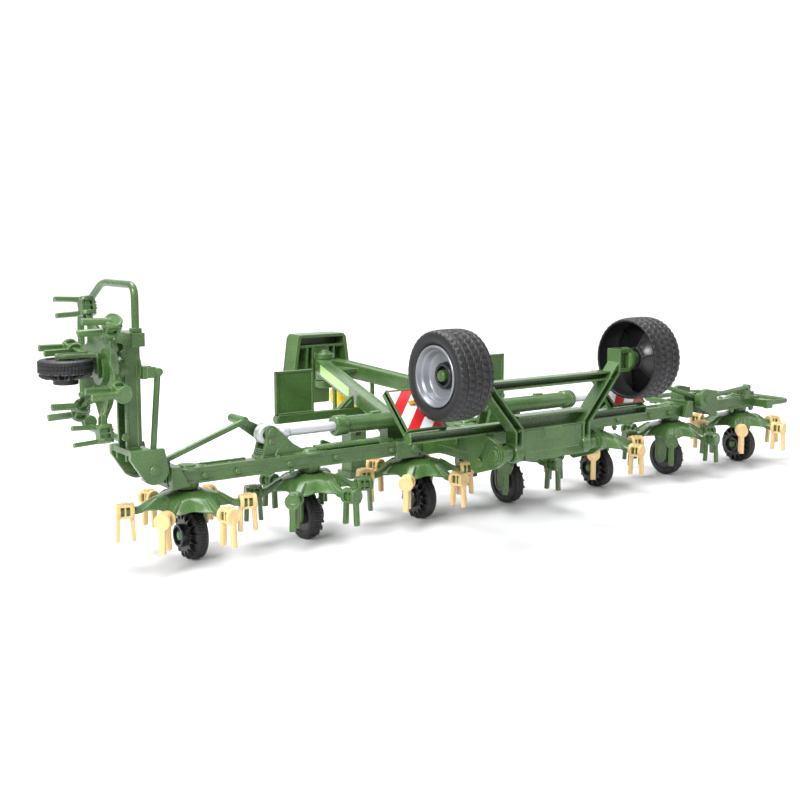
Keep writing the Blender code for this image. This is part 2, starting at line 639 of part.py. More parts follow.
def parking_stand():
    """Leg that hangs from the drawbar's bracket down to its flared foot."""
    tongue = STAND_WIDTH / 6
    half = STAND_WIDTH / 2
    depth = STAND_DEPTH / 2
    shoulder = STAND_PIVOT_Z - 5.5 * MM
    outline = [(-depth, 3 * MM), (-depth, STAND_PIVOT_Z)]
    outline += arc((0, STAND_PIVOT_Z), depth * 0.85, 180, 0)
    outline += [(depth, STAND_PIVOT_Z), (depth, 3 * MM)]
    outline = [(STAND_PIVOT_Y + y, z) for y, z in outline]
    shapes = [prism(outline, "X", -half, half)]
    shapes.append(box((-half - 2 * MM, STAND_PIVOT_Y - depth - 2 * MM, 0),
                      (half + 2 * MM, STAND_PIVOT_Y + depth + 2 * MM, 4 * MM)))
    slot = box((-tongue - GAP, STAND_PIVOT_Y - STAND_DEPTH, shoulder),
               (tongue + GAP, STAND_PIVOT_Y + STAND_DEPTH, STAND_PIVOT_Z + STAND_DEPTH))
    bore = rod((-STAND_WIDTH, STAND_PIVOT_Y, STAND_PIVOT_Z), (STAND_WIDTH, STAND_PIVOT_Y, STAND_PIVOT_Z),
               HINGE_PIN_R + GAP)
    return piece("parking_stand", "parking_stand", "green", shapes, [slot, bore])


def drive_shaft():
    """Shaft from the gearbox to the hitch, in a black tube and then a yellow guard."""
    gearbox_face = 12 * MM + GAP
    z = BEAM_Z - 3 * MM
    bend_y = DRAWBAR_LENGTH * 0.49
    front_y = DRAWBAR_LENGTH - 21 * MM
    front_z = BEAM_Z + 11 * MM
    bend = at(0, bend_y, z)
    front = at(0, front_y, front_z)
    joint = bend.lerp(front, 0.35)
    along = (front - bend).normalized()
    black = [rod((0, gearbox_face, z), bend, 3 * MM),
             rod(bend - along * 1 * MM, joint - along * GAP / 2, 3 * MM),
             lathe([(0, -4 * MM), (5 * MM, -4 * MM), (6 * MM, 5 * MM), (0, 5 * MM)], bend, along, 16)]
    piece("drive_shaft", "chassis_root", "black", black)
    cone = lathe([(0, 0), (6.5 * MM, 0), (4 * MM, 8 * MM), (0, 8 * MM)], joint + along * GAP / 2, along, 16)
    ball_r = 8.5 * MM
    ball = []
    for step in range(7):
        angle = math.radians(-90 + 180 * step / 6)
        ball.append((ball_r * math.cos(angle), ball_r * 0.9 * math.sin(angle)))
    guard = [cone, rod(joint + along * 2 * MM, front, 3 * MM), lathe(ball, front, along, 12)]
    piece("drive_shaft_guard", "chassis_root", "yellow", guard)


# ---- warning boards ---------------------------------------------------------------------
def front_board(side):
    sign = SIDES[side]
    bottom = drawbar_edges(FRONT_BOARD_Y)[0] - GAP
    inner_x = drawbar_x(FRONT_BOARD_Y) - DRAWBAR_WIDTH / 2
    outer_x = BOARD_OUTER_X + 1.5 * MM
    low, high = sorted((sign * inner_x, sign * outer_x))
    shapes = [box((low, FRONT_BOARD_Y - 2 * MM, bottom - BOARD_BAR_HEIGHT),
                  (high, FRONT_BOARD_Y + 2 * MM, bottom))]
    low, high = sorted((sign * (outer_x - BOARD_SIZE), sign * outer_x))
    shapes.append(box((low, FRONT_BOARD_Y - 1 * MM, bottom - 1 * MM),
                      (high, FRONT_BOARD_Y - 1 * MM + BOARD_THICKNESS, bottom + BOARD_SIZE)))
    face = drawbar_x(FRONT_BOARD_Y) + DRAWBAR_WIDTH / 2 + 1.5 * MM
    outline = [(sign * face, bottom - 1 * MM), (sign * face, bottom + 7 * MM),
               (sign * (face + 11 * MM), bottom - 1 * MM)]
    shapes.append(prism(outline, "Y", FRONT_BOARD_Y - 1.5 * MM, FRONT_BOARD_Y + 1.5 * MM))
    piece(f"front_board_{side}", "chassis_root", "green", shapes)


REAR_BAR_BOTTOM = BEAM_TOP_Z + 10.8 * MM
REAR_BAR_TOP = REAR_BAR_BOTTOM + BOARD_BAR_HEIGHT


def rear_board_bar():
    half = 2.5 * MM
    whole = box((-BOARD_OUTER_X + 1 * MM, REAR_BAR_Y - half, REAR_BAR_BOTTOM),
                (BOARD_OUTER_X - 1 * MM, REAR_BAR_Y + half, REAR_BAR_TOP))
    wall = 1.2 * MM
    groove = box((-BOARD_OUTER_X, REAR_BAR_Y - 2 * half, REAR_BAR_BOTTOM + wall),
                 (BOARD_OUTER_X, REAR_BAR_Y + half - wall, REAR_BAR_TOP - wall))
    piece("rear_board_bar", "chassis_root", "green", [whole], [groove])


def rear_board(side):
    sign = SIDES[side]
    low, high = sorted((sign * (BOARD_OUTER_X - BOARD_SIZE), sign * BOARD_OUTER_X))
    foot = Vector((0, REAR_BAR_Y, REAR_BAR_TOP + GAP + BOARD_THICKNESS * 0.36))
    slope = Vector((0, 1, 1)).normalized()
    start, end = foot, foot + slope * BOARD_SIZE
    middle = (low + high) / 2
    panel = bar((middle, *start.yz), (middle, *end.yz), high - low, BOARD_THICKNESS)
    piece(f"rear_board_{side}", "chassis_root", "board", [panel])


# ---- transport chassis --------------------------------------------------------------------
def pivot_plate(side):
    """Plate that carries the transport chassis, with the pivot pin and a slot."""
    sign = SIDES[side]
    rise = BEAM_Z - 41 * MM
    corners = [(-45, 54.7), (-61, 55.9), (-75.5, 50.6), (-76.5, 45.5), (-69.4, 40.2), (-54, 35.1)]
    outline = [(y * MM, z * MM + rise) for y, z in corners]
    low, high = sorted((sign * (PLATE_X - PLATE_THICKNESS / 2), sign * (PLATE_X + PLATE_THICKNESS / 2)))
    plate = prism(outline, "X", low, high)
    pin = rod((sign * (PLATE_X + 3 * MM), CHASSIS_PIVOT_Y, CHASSIS_PIVOT_Z),
              (sign * (CHASSIS_ARM_X - CHASSIS_ARM_WIDTH), CHASSIS_PIVOT_Y, CHASSIS_PIVOT_Z), CHASSIS_PIN_R)
    collar_end = CHASSIS_ARM_X + CHASSIS_ARM_WIDTH / 2 + 1 * MM
    collar = rod((sign * PLATE_X, CHASSIS_PIVOT_Y, CHASSIS_PIVOT_Z),
                 (sign * collar_end, CHASSIS_PIVOT_Y, CHASSIS_PIVOT_Z), 4 * MM)
    piece(f"pivot_plate_{side}", "chassis_root", "green", [plate, pin, collar])


def transport_chassis():
    """Two splayed arms with two cross-bars and a cover, from the pivot up to the axles."""
    y, pivot_z = CHASSIS_PIVOT_Y, CHASSIS_PIVOT_Z
    depth = CHASSIS_ARM_DEPTH / 2
    bend_z = pivot_z + 11 * MM
    axle_block_x = TRANSPORT_X - TRANSPORT_WIDTH / 2
    top_x = axle_block_x - 6 * MM
    half = CHASSIS_ARM_WIDTH / 2
    shapes = []
    bores = []
    for sign in SIDES.values():
        x = CHASSIS_ARM_X
        top_z = TRANSPORT_Z - 1 * MM
        outline = [(x - half, pivot_z), (x + half, pivot_z), (x + half, bend_z),
                   (top_x + half, top_z), (top_x - half, top_z), (x - half, bend_z + 1.5 * MM)]
        outline = [(sign * px, pz) for px, pz in outline]
        shapes.append(prism(outline, "Y", y - depth, y + depth))
        boss = half + 0.4 * MM
        shapes.append(rod((sign * (x - boss), y, pivot_z), (sign * (x + boss), y, pivot_z), 5.2 * MM, 12))
        low, high = sorted((sign * (top_x - 3.5 * MM), sign * (top_x + 5 * MM)))
        shapes.append(box((low, y - 5 * MM, TRANSPORT_Z - 6.2 * MM),
                          (high, y + 4.5 * MM, TRANSPORT_Z + 6.2 * MM)))
        boss_end = TRANSPORT_X - 4 * MM
        shapes.append(rod((sign * (top_x + 4 * MM), y, TRANSPORT_Z),
                          (sign * boss_end, y, TRANSPORT_Z), 5.5 * MM))
        shapes.append(rod((sign * top_x, y, TRANSPORT_Z),
                          (sign * (TRANSPORT_X + TRANSPORT_WIDTH / 2 - 1 * MM), y, TRANSPORT_Z), TRANSPORT_AXLE_R))
        bores.append(rod((sign * (x - 6 * MM), y, pivot_z), (sign * (x + 6 * MM), y, pivot_z),
                         CHASSIS_PIN_R + GAP))
    reach = CHASSIS_ARM_X
    shapes.append(box((-reach, y - depth + 0.4 * MM, bend_z), (reach, y + depth - 0.4 * MM, bend_z + 8 * MM)))
    upper_z = TRANSPORT_Z - 10 * MM
    slope = (top_x - CHASSIS_ARM_X) / (TRANSPORT_Z - 1 * MM - bend_z)
    upper_x = CHASSIS_ARM_X + slope * (upper_z - bend_z)
    shapes.append(box((-upper_x, y - depth + 0.7 * MM, upper_z),
                      (upper_x, y + depth - 0.7 * MM, upper_z + 4.5 * MM)))
    # cover under the lower cross-bar
    cover_y = y - depth + 1 * MM
    shapes.append(box((-reach + 0.5 * MM, cover_y, pivot_z - 3 * MM),
                      (reach - 0.5 * MM, cover_y + 2 * MM, bend_z + 0.6 * MM)))
    # the cross-bars and arms are channels, open to the rear
    wall = 1.3 * MM
    grooves = []
    for end_x, bottom, height in ((reach, bend_z, 8 * MM), (upper_x, upper_z, 4.5 * MM)):
        inset_x = end_x - half - 1 * MM
        grooves.append(box((-inset_x, y - 2 * depth, bottom + wall),
                           (inset_x, y + depth - 2 * wall, bottom + height - wall)))
    return piece("transport_chassis", "transport_chassis", "green", shapes, bores + grooves)


def transport_wheel(side):
    """Hollow tyre, open towards the machine, and the dished rim with its hub inside."""
    sign = SIDES[side]
    centre = at(sign * TRANSPORT_X, CHASSIS_PIVOT_Y, TRANSPORT_Z)
    half = TRANSPORT_WIDTH / 2
    r = TRANSPORT_R
    inner = r - TYRE_WALL
    seat = half - 3 * MM
    tyre = [(inner, -half), (r - 1.2 * MM, -half), (r, -half + 2.5 * MM), (r, half - 3 * MM),
            (r - 2 * MM, half - 0.6 * MM), (RIM_R, half), (RIM_R, seat), (inner, seat - 1.5 * MM)]
    name = f"transport_wheel_{side}"
    piece(f"transport_tyre_{side}", name, "black", [lathe(tyre, centre, X_AXIS * sign, 24)])
    bore = TRANSPORT_AXLE_R + GAP
    edge = RIM_R - GAP
    hub = 6.5 * MM
    rim = [(bore, -2 * MM), (hub, -2 * MM), (hub, -0.5 * MM), (inner - 2 * MM, seat - 4 * MM),
           (inner - 2 * MM, seat - 2 * MM), (edge, seat - GAP), (edge, half - 0.5 * MM),
           (edge - 1.2 * MM, half - 0.5 * MM), (edge - 3.5 * MM, 3.5 * MM), (hub, 1.5 * MM), (hub, 5 * MM),
           (bore, 5 * MM)]
    piece(f"transport_rim_{side}", name, "silver", [lathe(rim, centre, X_AXIS * sign)])


# ---- wings --------------------------------------------------------------------------------
def wing(side):
    """Beam with two gearboxes, hinge ears at its inner end and a tongue at its outer end."""
    sign = SIDES[side]
    lug = 6.4 * MM
    ear_out = BEAM_WIDTH / 2 + 1.6 * MM
    start = WING_HINGE_X + KNUCKLE_R + 1 * MM
    end = OUTER_HINGE_X - EAR_R - 3 * MM
    shapes = [beam(sign * start, sign * end)]
    for number in (2, 3):
        shapes += gearbox(sign * (number - 0.5) * ROTOR_SPACING)
    for y_side in (-1, 1):
        y_low, y_high = sorted((y_side * (lug / 2 + GAP), y_side * ear_out))
        outline = [(sign * (WING_HINGE_X + dx), BEAM_Z + dz) for dx, dz in arc((0, 0), KNUCKLE_R, 90, 270, 8)]
        outline += [(sign * (start + 3 * MM), BEAM_Z - KNUCKLE_R), (sign * (start + 3 * MM), BEAM_Z + KNUCKLE_R)]
        shapes.append(prism(outline, "Y", y_low, y_high))
    cuts = [rod((sign * WING_HINGE_X, -BEAM_WIDTH, BEAM_Z), (sign * WING_HINGE_X, BEAM_WIDTH, BEAM_Z),
                HINGE_PIN_R + GAP)]
    # cross-head and tongue of the outer hinge, with its pin
    low, high = sorted((sign * (end - 5 * MM), sign * end))
    shapes.append(box((low, -9 * MM, BEAM_BOTTOM_Z + 1 * MM), (high, 9 * MM, OUTER_HINGE_Z - 0.5 * MM)))
    outline = [(sign * (end - 2 * MM), BEAM_BOTTOM_Z + 2 * MM), (sign * (end - 2 * MM), OUTER_HINGE_Z + 3.5 * MM)]
    outline += [(sign * (OUTER_HINGE_X + dx), OUTER_HINGE_Z + dz) for dx, dz in arc((0, 0), 3.5 * MM, 90, -90)]
    shapes.append(prism(outline, "Y", -3.2 * MM, 3.2 * MM))
    shapes.append(rod((sign * OUTER_HINGE_X, -14 * MM, OUTER_HINGE_Z), (sign * OUTER_HINGE_X, 14 * MM, OUTER_HINGE_Z),
                      HINGE_PIN_R))
    # bracket of the lift cylinder's eye
    x_eye = CYLINDER_EYE_X
    foot_z = BEAM_TOP_Z - 1 * MM
    foot = [(x_eye - 24 * MM, foot_z), (x_eye + 4.5 * MM, foot_z), (x_eye + 5 * MM, CYLINDER_Z)]
    top = [(x_eye + dx, CYLINDER_Z + dz) for dx, dz in arc((0, 0), EYE_R, 0, 110)]
    outline = [(sign * px, pz) for px, pz in foot + top]
    reach = EYE_WIDTH / 2 + GAP
    for y_side in (-1, 1):
        y_low, y_high = sorted((CYLINDER_Y + y_side * reach, CYLINDER_Y + y_side * (reach + EAR_THICKNESS)))
        shapes.append(prism(outline, "Y", y_low, y_high))
    low, high = sorted((sign * (x_eye - 22 * MM), sign * (x_eye + 4 * MM)))
    shapes.append(box((low, CYLINDER_Y - reach - EAR_THICKNESS, BEAM_TOP_Z - 2 * MM),
                      (high, CYLINDER_Y + reach + EAR_THICKNESS, BEAM_TOP_Z + 0.6 * MM)))
    return piece(f"wing_beam_{side}", f"wing_{side}", "green", shapes, cuts)


def lever_and_push_rod(side):
    """Lever from the cylinder's eye and the rod on to the outer hinge pin."""
    sign = SIDES[side]
    pivot = at(sign * CYLINDER_EYE_X, CYLINDER_Y, CYLINDER_Z)
    tip = pivot + at(sign * 15 * MM, 0, 9 * MM)
    inside = EYE_WIDTH / 2 + 2 * GAP + EAR_THICKNESS
    plate = 1.6 * MM
    shapes = []
    for y_side in (-1, 1):
        y = Vector((0, y_side * (inside + plate / 2), 0))
        shapes.append(bar(pivot + y - at(sign * 2 * MM, 0, 1.2 * MM), tip + y, plate, 5.5 * MM, Z_AXIS))
        shapes.append(rod(pivot + y - Y_AXIS * plate / 2, pivot + y + Y_AXIS * plate / 2, 3.6 * MM))
    shapes.append(rod(tip - Y_AXIS * (inside + plate), tip + Y_AXIS * (inside + plate), 2.4 * MM))
    eye = at(sign * OUTER_HINGE_X, PUSH_ROD_Y, OUTER_HINGE_Z)
    start = tip - Y_AXIS * (inside + plate / 2)
    shapes.append(rod(start, eye - at(sign * 3 * MM, 0, -1 * MM), ROD_R))
    shapes.append(ring(eye, Y_AXIS, 3.6 * MM, HINGE_PIN_R + GAP, 2.2 * MM, COARSE))
    piece(f"push_rod_{side}", f"wing_{side}", "green", shapes)


def lift_cylinder(side):
    """Tube that hinges on the centre frame and the rod that slides in it."""
    sign = SIDES[side]
    start = sign * CYLINDER_ROOT_X
    end = sign * CYLINDER_TUBE_END_X
    y, z = CYLINDER_Y, CYLINDER_Z
    foot = EYE_R - 1 * MM
    tube_shapes = [rod((start + sign * 7 * MM, y, z), (end, y, z), CYLINDER_TUBE_R, 12),
                   rod((end - sign * 6 * MM, y, z), (end + sign * 0.5 * MM, y, z), CYLINDER_TUBE_R + 0.8 * MM, 12),
                   rod((start, y - EYE_WIDTH / 2, z), (start, y + EYE_WIDTH / 2, z), foot),
                   centred_box((start + sign * 5 * MM, y, z), (8 * MM, EYE_WIDTH - 0.6 * MM, 2 * foot * 0.7))]
    bore = [rod((start + sign * 27 * MM, y, z), (end + sign * 5 * MM, y, z), CYLINDER_ROD_R + GAP),
            rod((start, y - 5 * MM, z), (start, y + 5 * MM, z), HINGE_PIN_R + GAP)]
    piece(f"lift_tube_{side}", f"lift_tube_{side}", "green", tube_shapes, bore)
    eye = at(sign * CYLINDER_EYE_X, y, z)
    overlap = end - sign * 8 * MM
    rod_shapes = [rod((overlap, y, z), (eye.x - sign * EYE_R * 0.8, y, z), CYLINDER_ROD_R),
                  rod((end + sign * 30 * MM, y, z), (end + sign * 33 * MM, y, z), CYLINDER_ROD_R + 1 * MM),
                  ring(eye, Y_AXIS, EYE_R, HINGE_PIN_R + 1 * MM, EYE_WIDTH)]
    piece(f"lift_rod_{side}", f"lift_rod_{side}", "silver", rod_shapes)


# ---- outer sections ------------------------------------------------------------------------
def outer_section(side):
    """Beam, hinge ears, end cross-piece and the bracket of its folding rod."""
    sign = SIDES[side]
    name = f"outer_{side}"
    start = OUTER_HINGE_X + EAR_R
    end = OUTER_ROTOR_X + 17 * MM
    shapes = [beam(sign * start, sign * end)] + gearbox(sign * OUTER_ROTOR_X)
    ear_in, ear_out = 10.2 * MM, 12.8 * MM
    for y_side in (-1, 1):
        y_low, y_high = sorted((y_side * ear_in, y_side * ear_out))
        outline = [(sign * (OUTER_HINGE_X + dx), OUTER_HINGE_Z + dz) for dx, dz in arc((0, 0), EAR_R, 90, 225, 7)]
        outline += [(sign * (start - 1 * MM), BEAM_BOTTOM_Z + 0.5 * MM),
                    (sign * (start + 3 * MM), BEAM_BOTTOM_Z + 0.5 * MM),
                    (sign * (start + 3 * MM), OUTER_HINGE_Z + EAR_R * 0.7)]
        shapes.append(prism(outline, "Y", y_low, y_high))
    low, high = sorted((sign * (start + 0.5 * MM), sign * (start + 3.5 * MM)))
    shapes.append(box((low, -ear_out, BEAM_BOTTOM_Z + 1 * MM), (high, ear_out, BEAM_TOP_Z + 2 * MM)))
    # cross-piece at the outer end
    low, high = sorted((sign * (end - 6 * MM), sign * (end - 0.5 * MM)))
    shapes.append(box((low, -16 * MM, BEAM_Z - 3 * MM), (high, BEAM_WIDTH / 2 + 1 * MM, BEAM_Z + 3 * MM)))
    # bracket of the folding rod
    low, high = sorted((sign * (OUTER_ROTOR_X - 5 * MM), sign * (OUTER_ROTOR_X + 1 * MM)))
    shapes.append(box((low, FOLDING_ROD_Y - 1.4 * MM, BEAM_TOP_Z), (high, 2 * MM, BEAM_TOP_Z + 6 * MM)))
    cuts = [rod((sign * OUTER_HINGE_X, -16 * MM, OUTER_HINGE_Z), (sign * OUTER_HINGE_X, 16 * MM, OUTER_HINGE_Z),
                HINGE_PIN_R + GAP)]
    piece(f"outer_beam_{side}", name, "green", shapes, cuts)
    # folding rod along the beam
    y = FOLDING_ROD_Y
    z_high = BEAM_TOP_Z + 6 * MM + GAP + ROD_R
    eye = at(sign * OUTER_HINGE_X, y, OUTER_HINGE_Z)
    top = at(sign * (OUTER_ROTOR_X - 2 * MM), y, z_high)
    rod_shapes = [rod(eye + at(sign * 2.5 * MM, 0, 0.6 * MM), top, ROD_R),
                  rod(top - Y_AXIS * 2.4 * MM, top + Y_AXIS * 2.4 * MM, ROD_R),
                  ring(eye, Y_AXIS, 3.6 * MM, HINGE_PIN_R + GAP, 2.2 * MM, COARSE)]
    piece(f"folding_rod_{side}", name, "green", rod_shapes)
    # guard rail round the front and the outer end
    z = BEAM_Z
    far = OUTER_ROTOR_X + 39 * MM
    front = 55 * MM
    inner = OUTER_HINGE_X + 13 * MM
    path = [(end + GAP + 0.3 * MM, -13 * MM), (far, -13 * MM), (far, 25 * MM), (OUTER_ROTOR_X + 22 * MM, front),
            (inner, front), (inner, BEAM_WIDTH / 2 + GAP + 0.3 * MM)]
    path = [at(sign * px, py, z) for px, py in path]
    piece(f"guard_rail_{side}", name, "green", [tube(rounded(path, 6 * MM), RAIL_R)])


# ---- the whole machine -----------------------------------------------------------------------
def build():
    body("chassis_root", (0, 0, 0))
    centre_frame()
    drawbar()
    drive_shaft()
    rear_board_bar()
    for side in SIDES:
        pivot_plate(side)
        front_board(side)
        rear_board(side)
    body("headstock", (0, DRAWBAR_LENGTH, DRAWBAR_FRONT_BOTTOM), "chassis_root")
    headstock()
    body("parking_stand", (0, STAND_PIVOT_Y, STAND_PIVOT_Z), "chassis_root")
    parking_stand()
    body("transport_chassis", (0, CHASSIS_PIVOT_Y, CHASSIS_PIVOT_Z), "chassis_root")
    transport_chassis()
    for side, sign in SIDES.items():
        body(f"transport_wheel_{side}", (sign * TRANSPORT_X, CHASSIS_PIVOT_Y, TRANSPORT_Z), "transport_chassis")
        transport_wheel(side)
        body(f"wing_{side}", (sign * WING_HINGE_X, 0, BEAM_Z), "chassis_root")
        wing(side)
        lever_and_push_rod(side)
        body(f"lift_tube_{side}", (sign * CYLINDER_ROOT_X, CYLINDER_Y, CYLINDER_Z), "chassis_root")
        body(f"lift_rod_{side}", (sign * CYLINDER_ROOT_X, CYLINDER_Y, CYLINDER_Z), f"lift_tube_{side}")
        lift_cylinder(side)
        body(f"outer_{side}", (sign * OUTER_HINGE_X, 0, OUTER_HINGE_Z), f"wing_{side}")
        outer_section(side)
        rotor_unit(side, 1, "chassis_root")
        rotor_unit(side, 2, f"wing_{side}")
        rotor_unit(side, 3, f"wing_{side}")
        rotor_unit(side, 4, f"outer_{side}")
    BODIES["outer_left"][0].rotation_euler = (0, OUTER_FOLD_LEFT, 0)


def move_origin_to_bottom_centre():
    bpy.context.view_layer.update()
    low = Vector((math.inf,) * 3)
    high = Vector((-math.inf,) * 3)
    for piece_object in bpy.context.scene.objects:
        if piece_object.type != "MESH":
            continue
        for vertex in piece_object.data.vertices:
            point = piece_object.matrix_world @ vertex.co
            low = Vector(map(min, low, point))
            high = Vector(map(max, high, point))
    middle = (low + high) / 2
    BODIES["chassis_root"][0].location = -at(middle.x, middle.y, low.z)
    bpy.context.view_layer.update()


for old in list(bpy.data.objects):
    bpy.data.objects.remove(old, do_unlink=True)
build()
move_origin_to_bottom_centre()
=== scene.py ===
# %% [markdown]
# # A toy hay tedder
# The machine is a 1:16 toy of a hay tedder: eight umbrella-shaped rotors under a
# long folding beam, a three-point headstock in front and two wide transport wheels behind.
# Nearly all of it is moulded ABS. The CAD model fixes every size and every joint, so this
# lesson only dresses it: coarse solids get finished pieces in their place, good ones a finish.

# %% Load the frame
import json
import math

import bmesh
import bpy
from mathutils import Matrix, Vector


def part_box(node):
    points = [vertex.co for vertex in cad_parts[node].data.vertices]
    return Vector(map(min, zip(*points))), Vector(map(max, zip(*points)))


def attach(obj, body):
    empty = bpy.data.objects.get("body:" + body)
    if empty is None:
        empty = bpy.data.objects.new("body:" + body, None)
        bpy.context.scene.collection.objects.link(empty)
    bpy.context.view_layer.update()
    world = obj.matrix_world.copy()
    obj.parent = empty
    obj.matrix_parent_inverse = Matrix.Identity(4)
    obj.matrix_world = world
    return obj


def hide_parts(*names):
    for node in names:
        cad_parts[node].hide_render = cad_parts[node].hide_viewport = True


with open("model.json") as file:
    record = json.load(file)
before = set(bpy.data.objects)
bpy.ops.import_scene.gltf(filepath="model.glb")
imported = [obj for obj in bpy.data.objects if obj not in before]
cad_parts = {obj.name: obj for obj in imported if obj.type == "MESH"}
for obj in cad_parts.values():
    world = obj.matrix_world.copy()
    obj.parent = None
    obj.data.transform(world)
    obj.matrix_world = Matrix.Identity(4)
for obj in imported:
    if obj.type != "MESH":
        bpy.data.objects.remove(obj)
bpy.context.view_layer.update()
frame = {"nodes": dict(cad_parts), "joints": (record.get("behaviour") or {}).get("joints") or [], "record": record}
MM = 0.001

# %% [markdown]
# Every piece below is drawn in millimetres round one point: on the ground, under the middle
# of the rotor line. That point comes from the frame, so the dressing follows the CAD wherever
# it stands. Hinges come from the record's joints. The left outer section stands folded
# upright, so what rides on it is drawn flat like its right-hand twin and then swung up.

# %% Where things are
def centre_of(node):
    low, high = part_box(node)
    return (low + high) / 2


def size_of(node):
    low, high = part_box(node)
    return (high - low) / MM


ORIGIN = Vector((centre_of("drawbar").x, centre_of("rotor_right_1").y, 0))
JOINTS = {joint["name"]: (Vector(joint["pos_m"]) - ORIGIN) / MM for joint in frame["joints"]
          if "pos_m" in joint}
SIDES = {"left": -1, "right": 1}
SPACING = (centre_of("rotor_right_3").x - centre_of("rotor_right_2").x) / MM
WHEEL_R = size_of("wheel_right_1").z / 2
BEAM_Z = JOINTS["wing_right_fold"].z
BEAM_TOP = BEAM_Z + 4.5
BEAM_BOTTOM = BEAM_Z - 4.5
HUB_BOTTOM = 2 * WHEEL_R + 2.7
HOLDER_Z = HUB_BOTTOM - 0.8
WING_HINGE_X = JOINTS["wing_right_fold"].x
OUTER_HINGE = JOINTS["outer_right_fold"]
OUTER_ROTOR_X = 3.5 * SPACING
CYLINDER = JOINTS["lift_tube_right_tilt"]
TRANSPORT = (centre_of("transport_tyre_right") - ORIGIN) / MM
TRANSPORT_R = size_of("transport_tyre_right").z / 2
CHASSIS = JOINTS["transport_chassis_swing"]
HITCH = JOINTS["headstock_swivel"]
FOLDED = {"outer_left", "rotor_left_4", "wheel_left_4"}
FOLD = (Matrix.Translation(Vector((-OUTER_HINGE.x, 0, OUTER_HINGE.z)) * MM)
        @ Matrix.Rotation(math.radians(90), 4, "Y")
        @ Matrix.Translation(Vector((OUTER_HINGE.x, 0, -OUTER_HINGE.z)) * MM))
print("rotor spacing", round(SPACING, 2), "wheel radius", round(WHEEL_R, 2))
print("outer hinge", OUTER_HINGE, "transport wheel", TRANSPORT, "radius", round(TRANSPORT_R, 2))

# %% [markdown]
# ## Shapes
# Toy parts come out of steel moulds, so their shapes are the ones a toolmaker cuts: turned
# rounds, plates pushed straight out of an outline, and bars that follow a line. One function
# makes each kind. They return a bmesh, Blender's editable mesh, so shapes can be joined.

# %% Turned shapes and plates
def skin(rings, closed_ring=True, closed_row=False, caps=False):
    """A mesh over rows of points, each row joined to the next."""
    shape = bmesh.new()
    rows = [[shape.verts.new(point) for point in row] for row in rings]
    pairs = list(zip(rows, rows[1:])) + ([(rows[-1], rows[0])] if closed_row else [])
    for row, after in pairs:
        count = len(row) if closed_ring else len(row) - 1
        for step in range(count):
            following = (step + 1) % len(row)
            shape.faces.new((row[step], row[following], after[following], after[step]))
    if caps:
        shape.faces.new(rows[0])
        shape.faces.new(rows[-1])
    bmesh.ops.remove_doubles(shape, verts=shape.verts, dist=1e-5)
    bmesh.ops.recalc_face_normals(shape, faces=shape.faces)
    return shape


def turn(profile, axis="Z", centre=(0, 0, 0), sides=48, swell=None):
    """Turn a closed loop of (radius, distance along the axis) points. swell bends it by angle."""
    onto = {"X": Matrix.Rotation(math.radians(90), 4, "Y"), "-X": Matrix.Rotation(math.radians(-90), 4, "Y"),
            "Y": Matrix.Rotation(math.radians(-90), 4, "X"), "Z": Matrix.Identity(4)}
    if isinstance(axis, str):
        matrix = onto[axis]
    else:
        matrix = Vector((0, 0, 1)).rotation_difference(axis).to_matrix().to_4x4()
    rings = []
    for radius, along in profile:
        ring = []
        for step in range(sides):
            angle = 2 * math.pi * step / sides
            r, z = swell(radius, along, angle) if swell else (radius, along)
            ring.append((r * math.cos(angle), r * math.sin(angle), z))
        rings.append(ring)
    shape = skin(rings, closed_row=True)
    bmesh.ops.transform(shape, matrix=Matrix.Translation(centre) @ matrix, verts=shape.verts)
    return shape


def disc(radius, low, high, axis="Z", centre=(0, 0, 0), sides=32, edge=0.3):
    """A solid round with a small chamfer on both rims."""
    profile = [(0.001, low), (radius - edge, low), (radius, low + edge), (radius, high - edge),
               (radius - edge, high), (0.001, high)]
    return turn(profile, axis, centre, sides)


def plate(outline, axis, low, high):
    """Push a flat outline along an axis. The outline gives the other two values in order."""
    position = "XYZ".index(axis)
    layers = []
    for depth in (low, high):
        layer = [list(point) for point in outline]
        for point in layer:
            point.insert(position, depth)
        layers.append(layer)
    return skin(layers, caps=True)


def block(low, high):
    (x0, y0, z0), (x1, y1, z1) = low, high
    return plate([(x0, y0), (x1, y0), (x1, y1), (x0, y1)], "Z", z0, z1)


def arc(centre, radius, start, end, steps=12):
    """Points on a circle between two angles in degrees."""
    angles = [math.radians(start + (end - start) * step / steps) for step in range(steps + 1)]
    return [(centre[0] + radius * math.cos(a), centre[1] + radius * math.sin(a)) for a in angles]


# %% Bars and pipes along a line
def sweep(points, section, up=(0, 0, 1)):
    """Carry a closed section of (across, rise) points along a line, mitred at its corners."""
    points = [Vector(point) for point in points]
    up = Vector(up)
    rows = []
    for index, point in enumerate(points):
        before = (point - points[index - 1]).normalized() if index else None
        after = (points[index + 1] - point).normalized() if index + 1 < len(points) else None
        along = ((before or after) + (after or before)).normalized()
        across = along.cross(up).normalized()
        rise = across.cross(along)
        stretch = 1 / max(along.dot(after or before), 0.3)
        rows.append([point + across * a * (stretch if abs(across.dot(after or before)) > 0.01 else 1)
                     + rise * r * (stretch if abs(rise.dot(after or before)) > 0.01 else 1)
                     for a, r in section])
    return skin(rows, caps=True)


def pipe(points, radius, sides=16, up=(0, 0, 1)):
    return sweep(points, arc((0, 0), radius, 0, 360 - 360 / sides, sides - 1), up)


def bar(points, width, height, up=(0, 0, 1)):
    w, h = width / 2, height / 2
    return sweep(points, [(-w, -h), (w, -h), (w, h), (-w, h)], up)


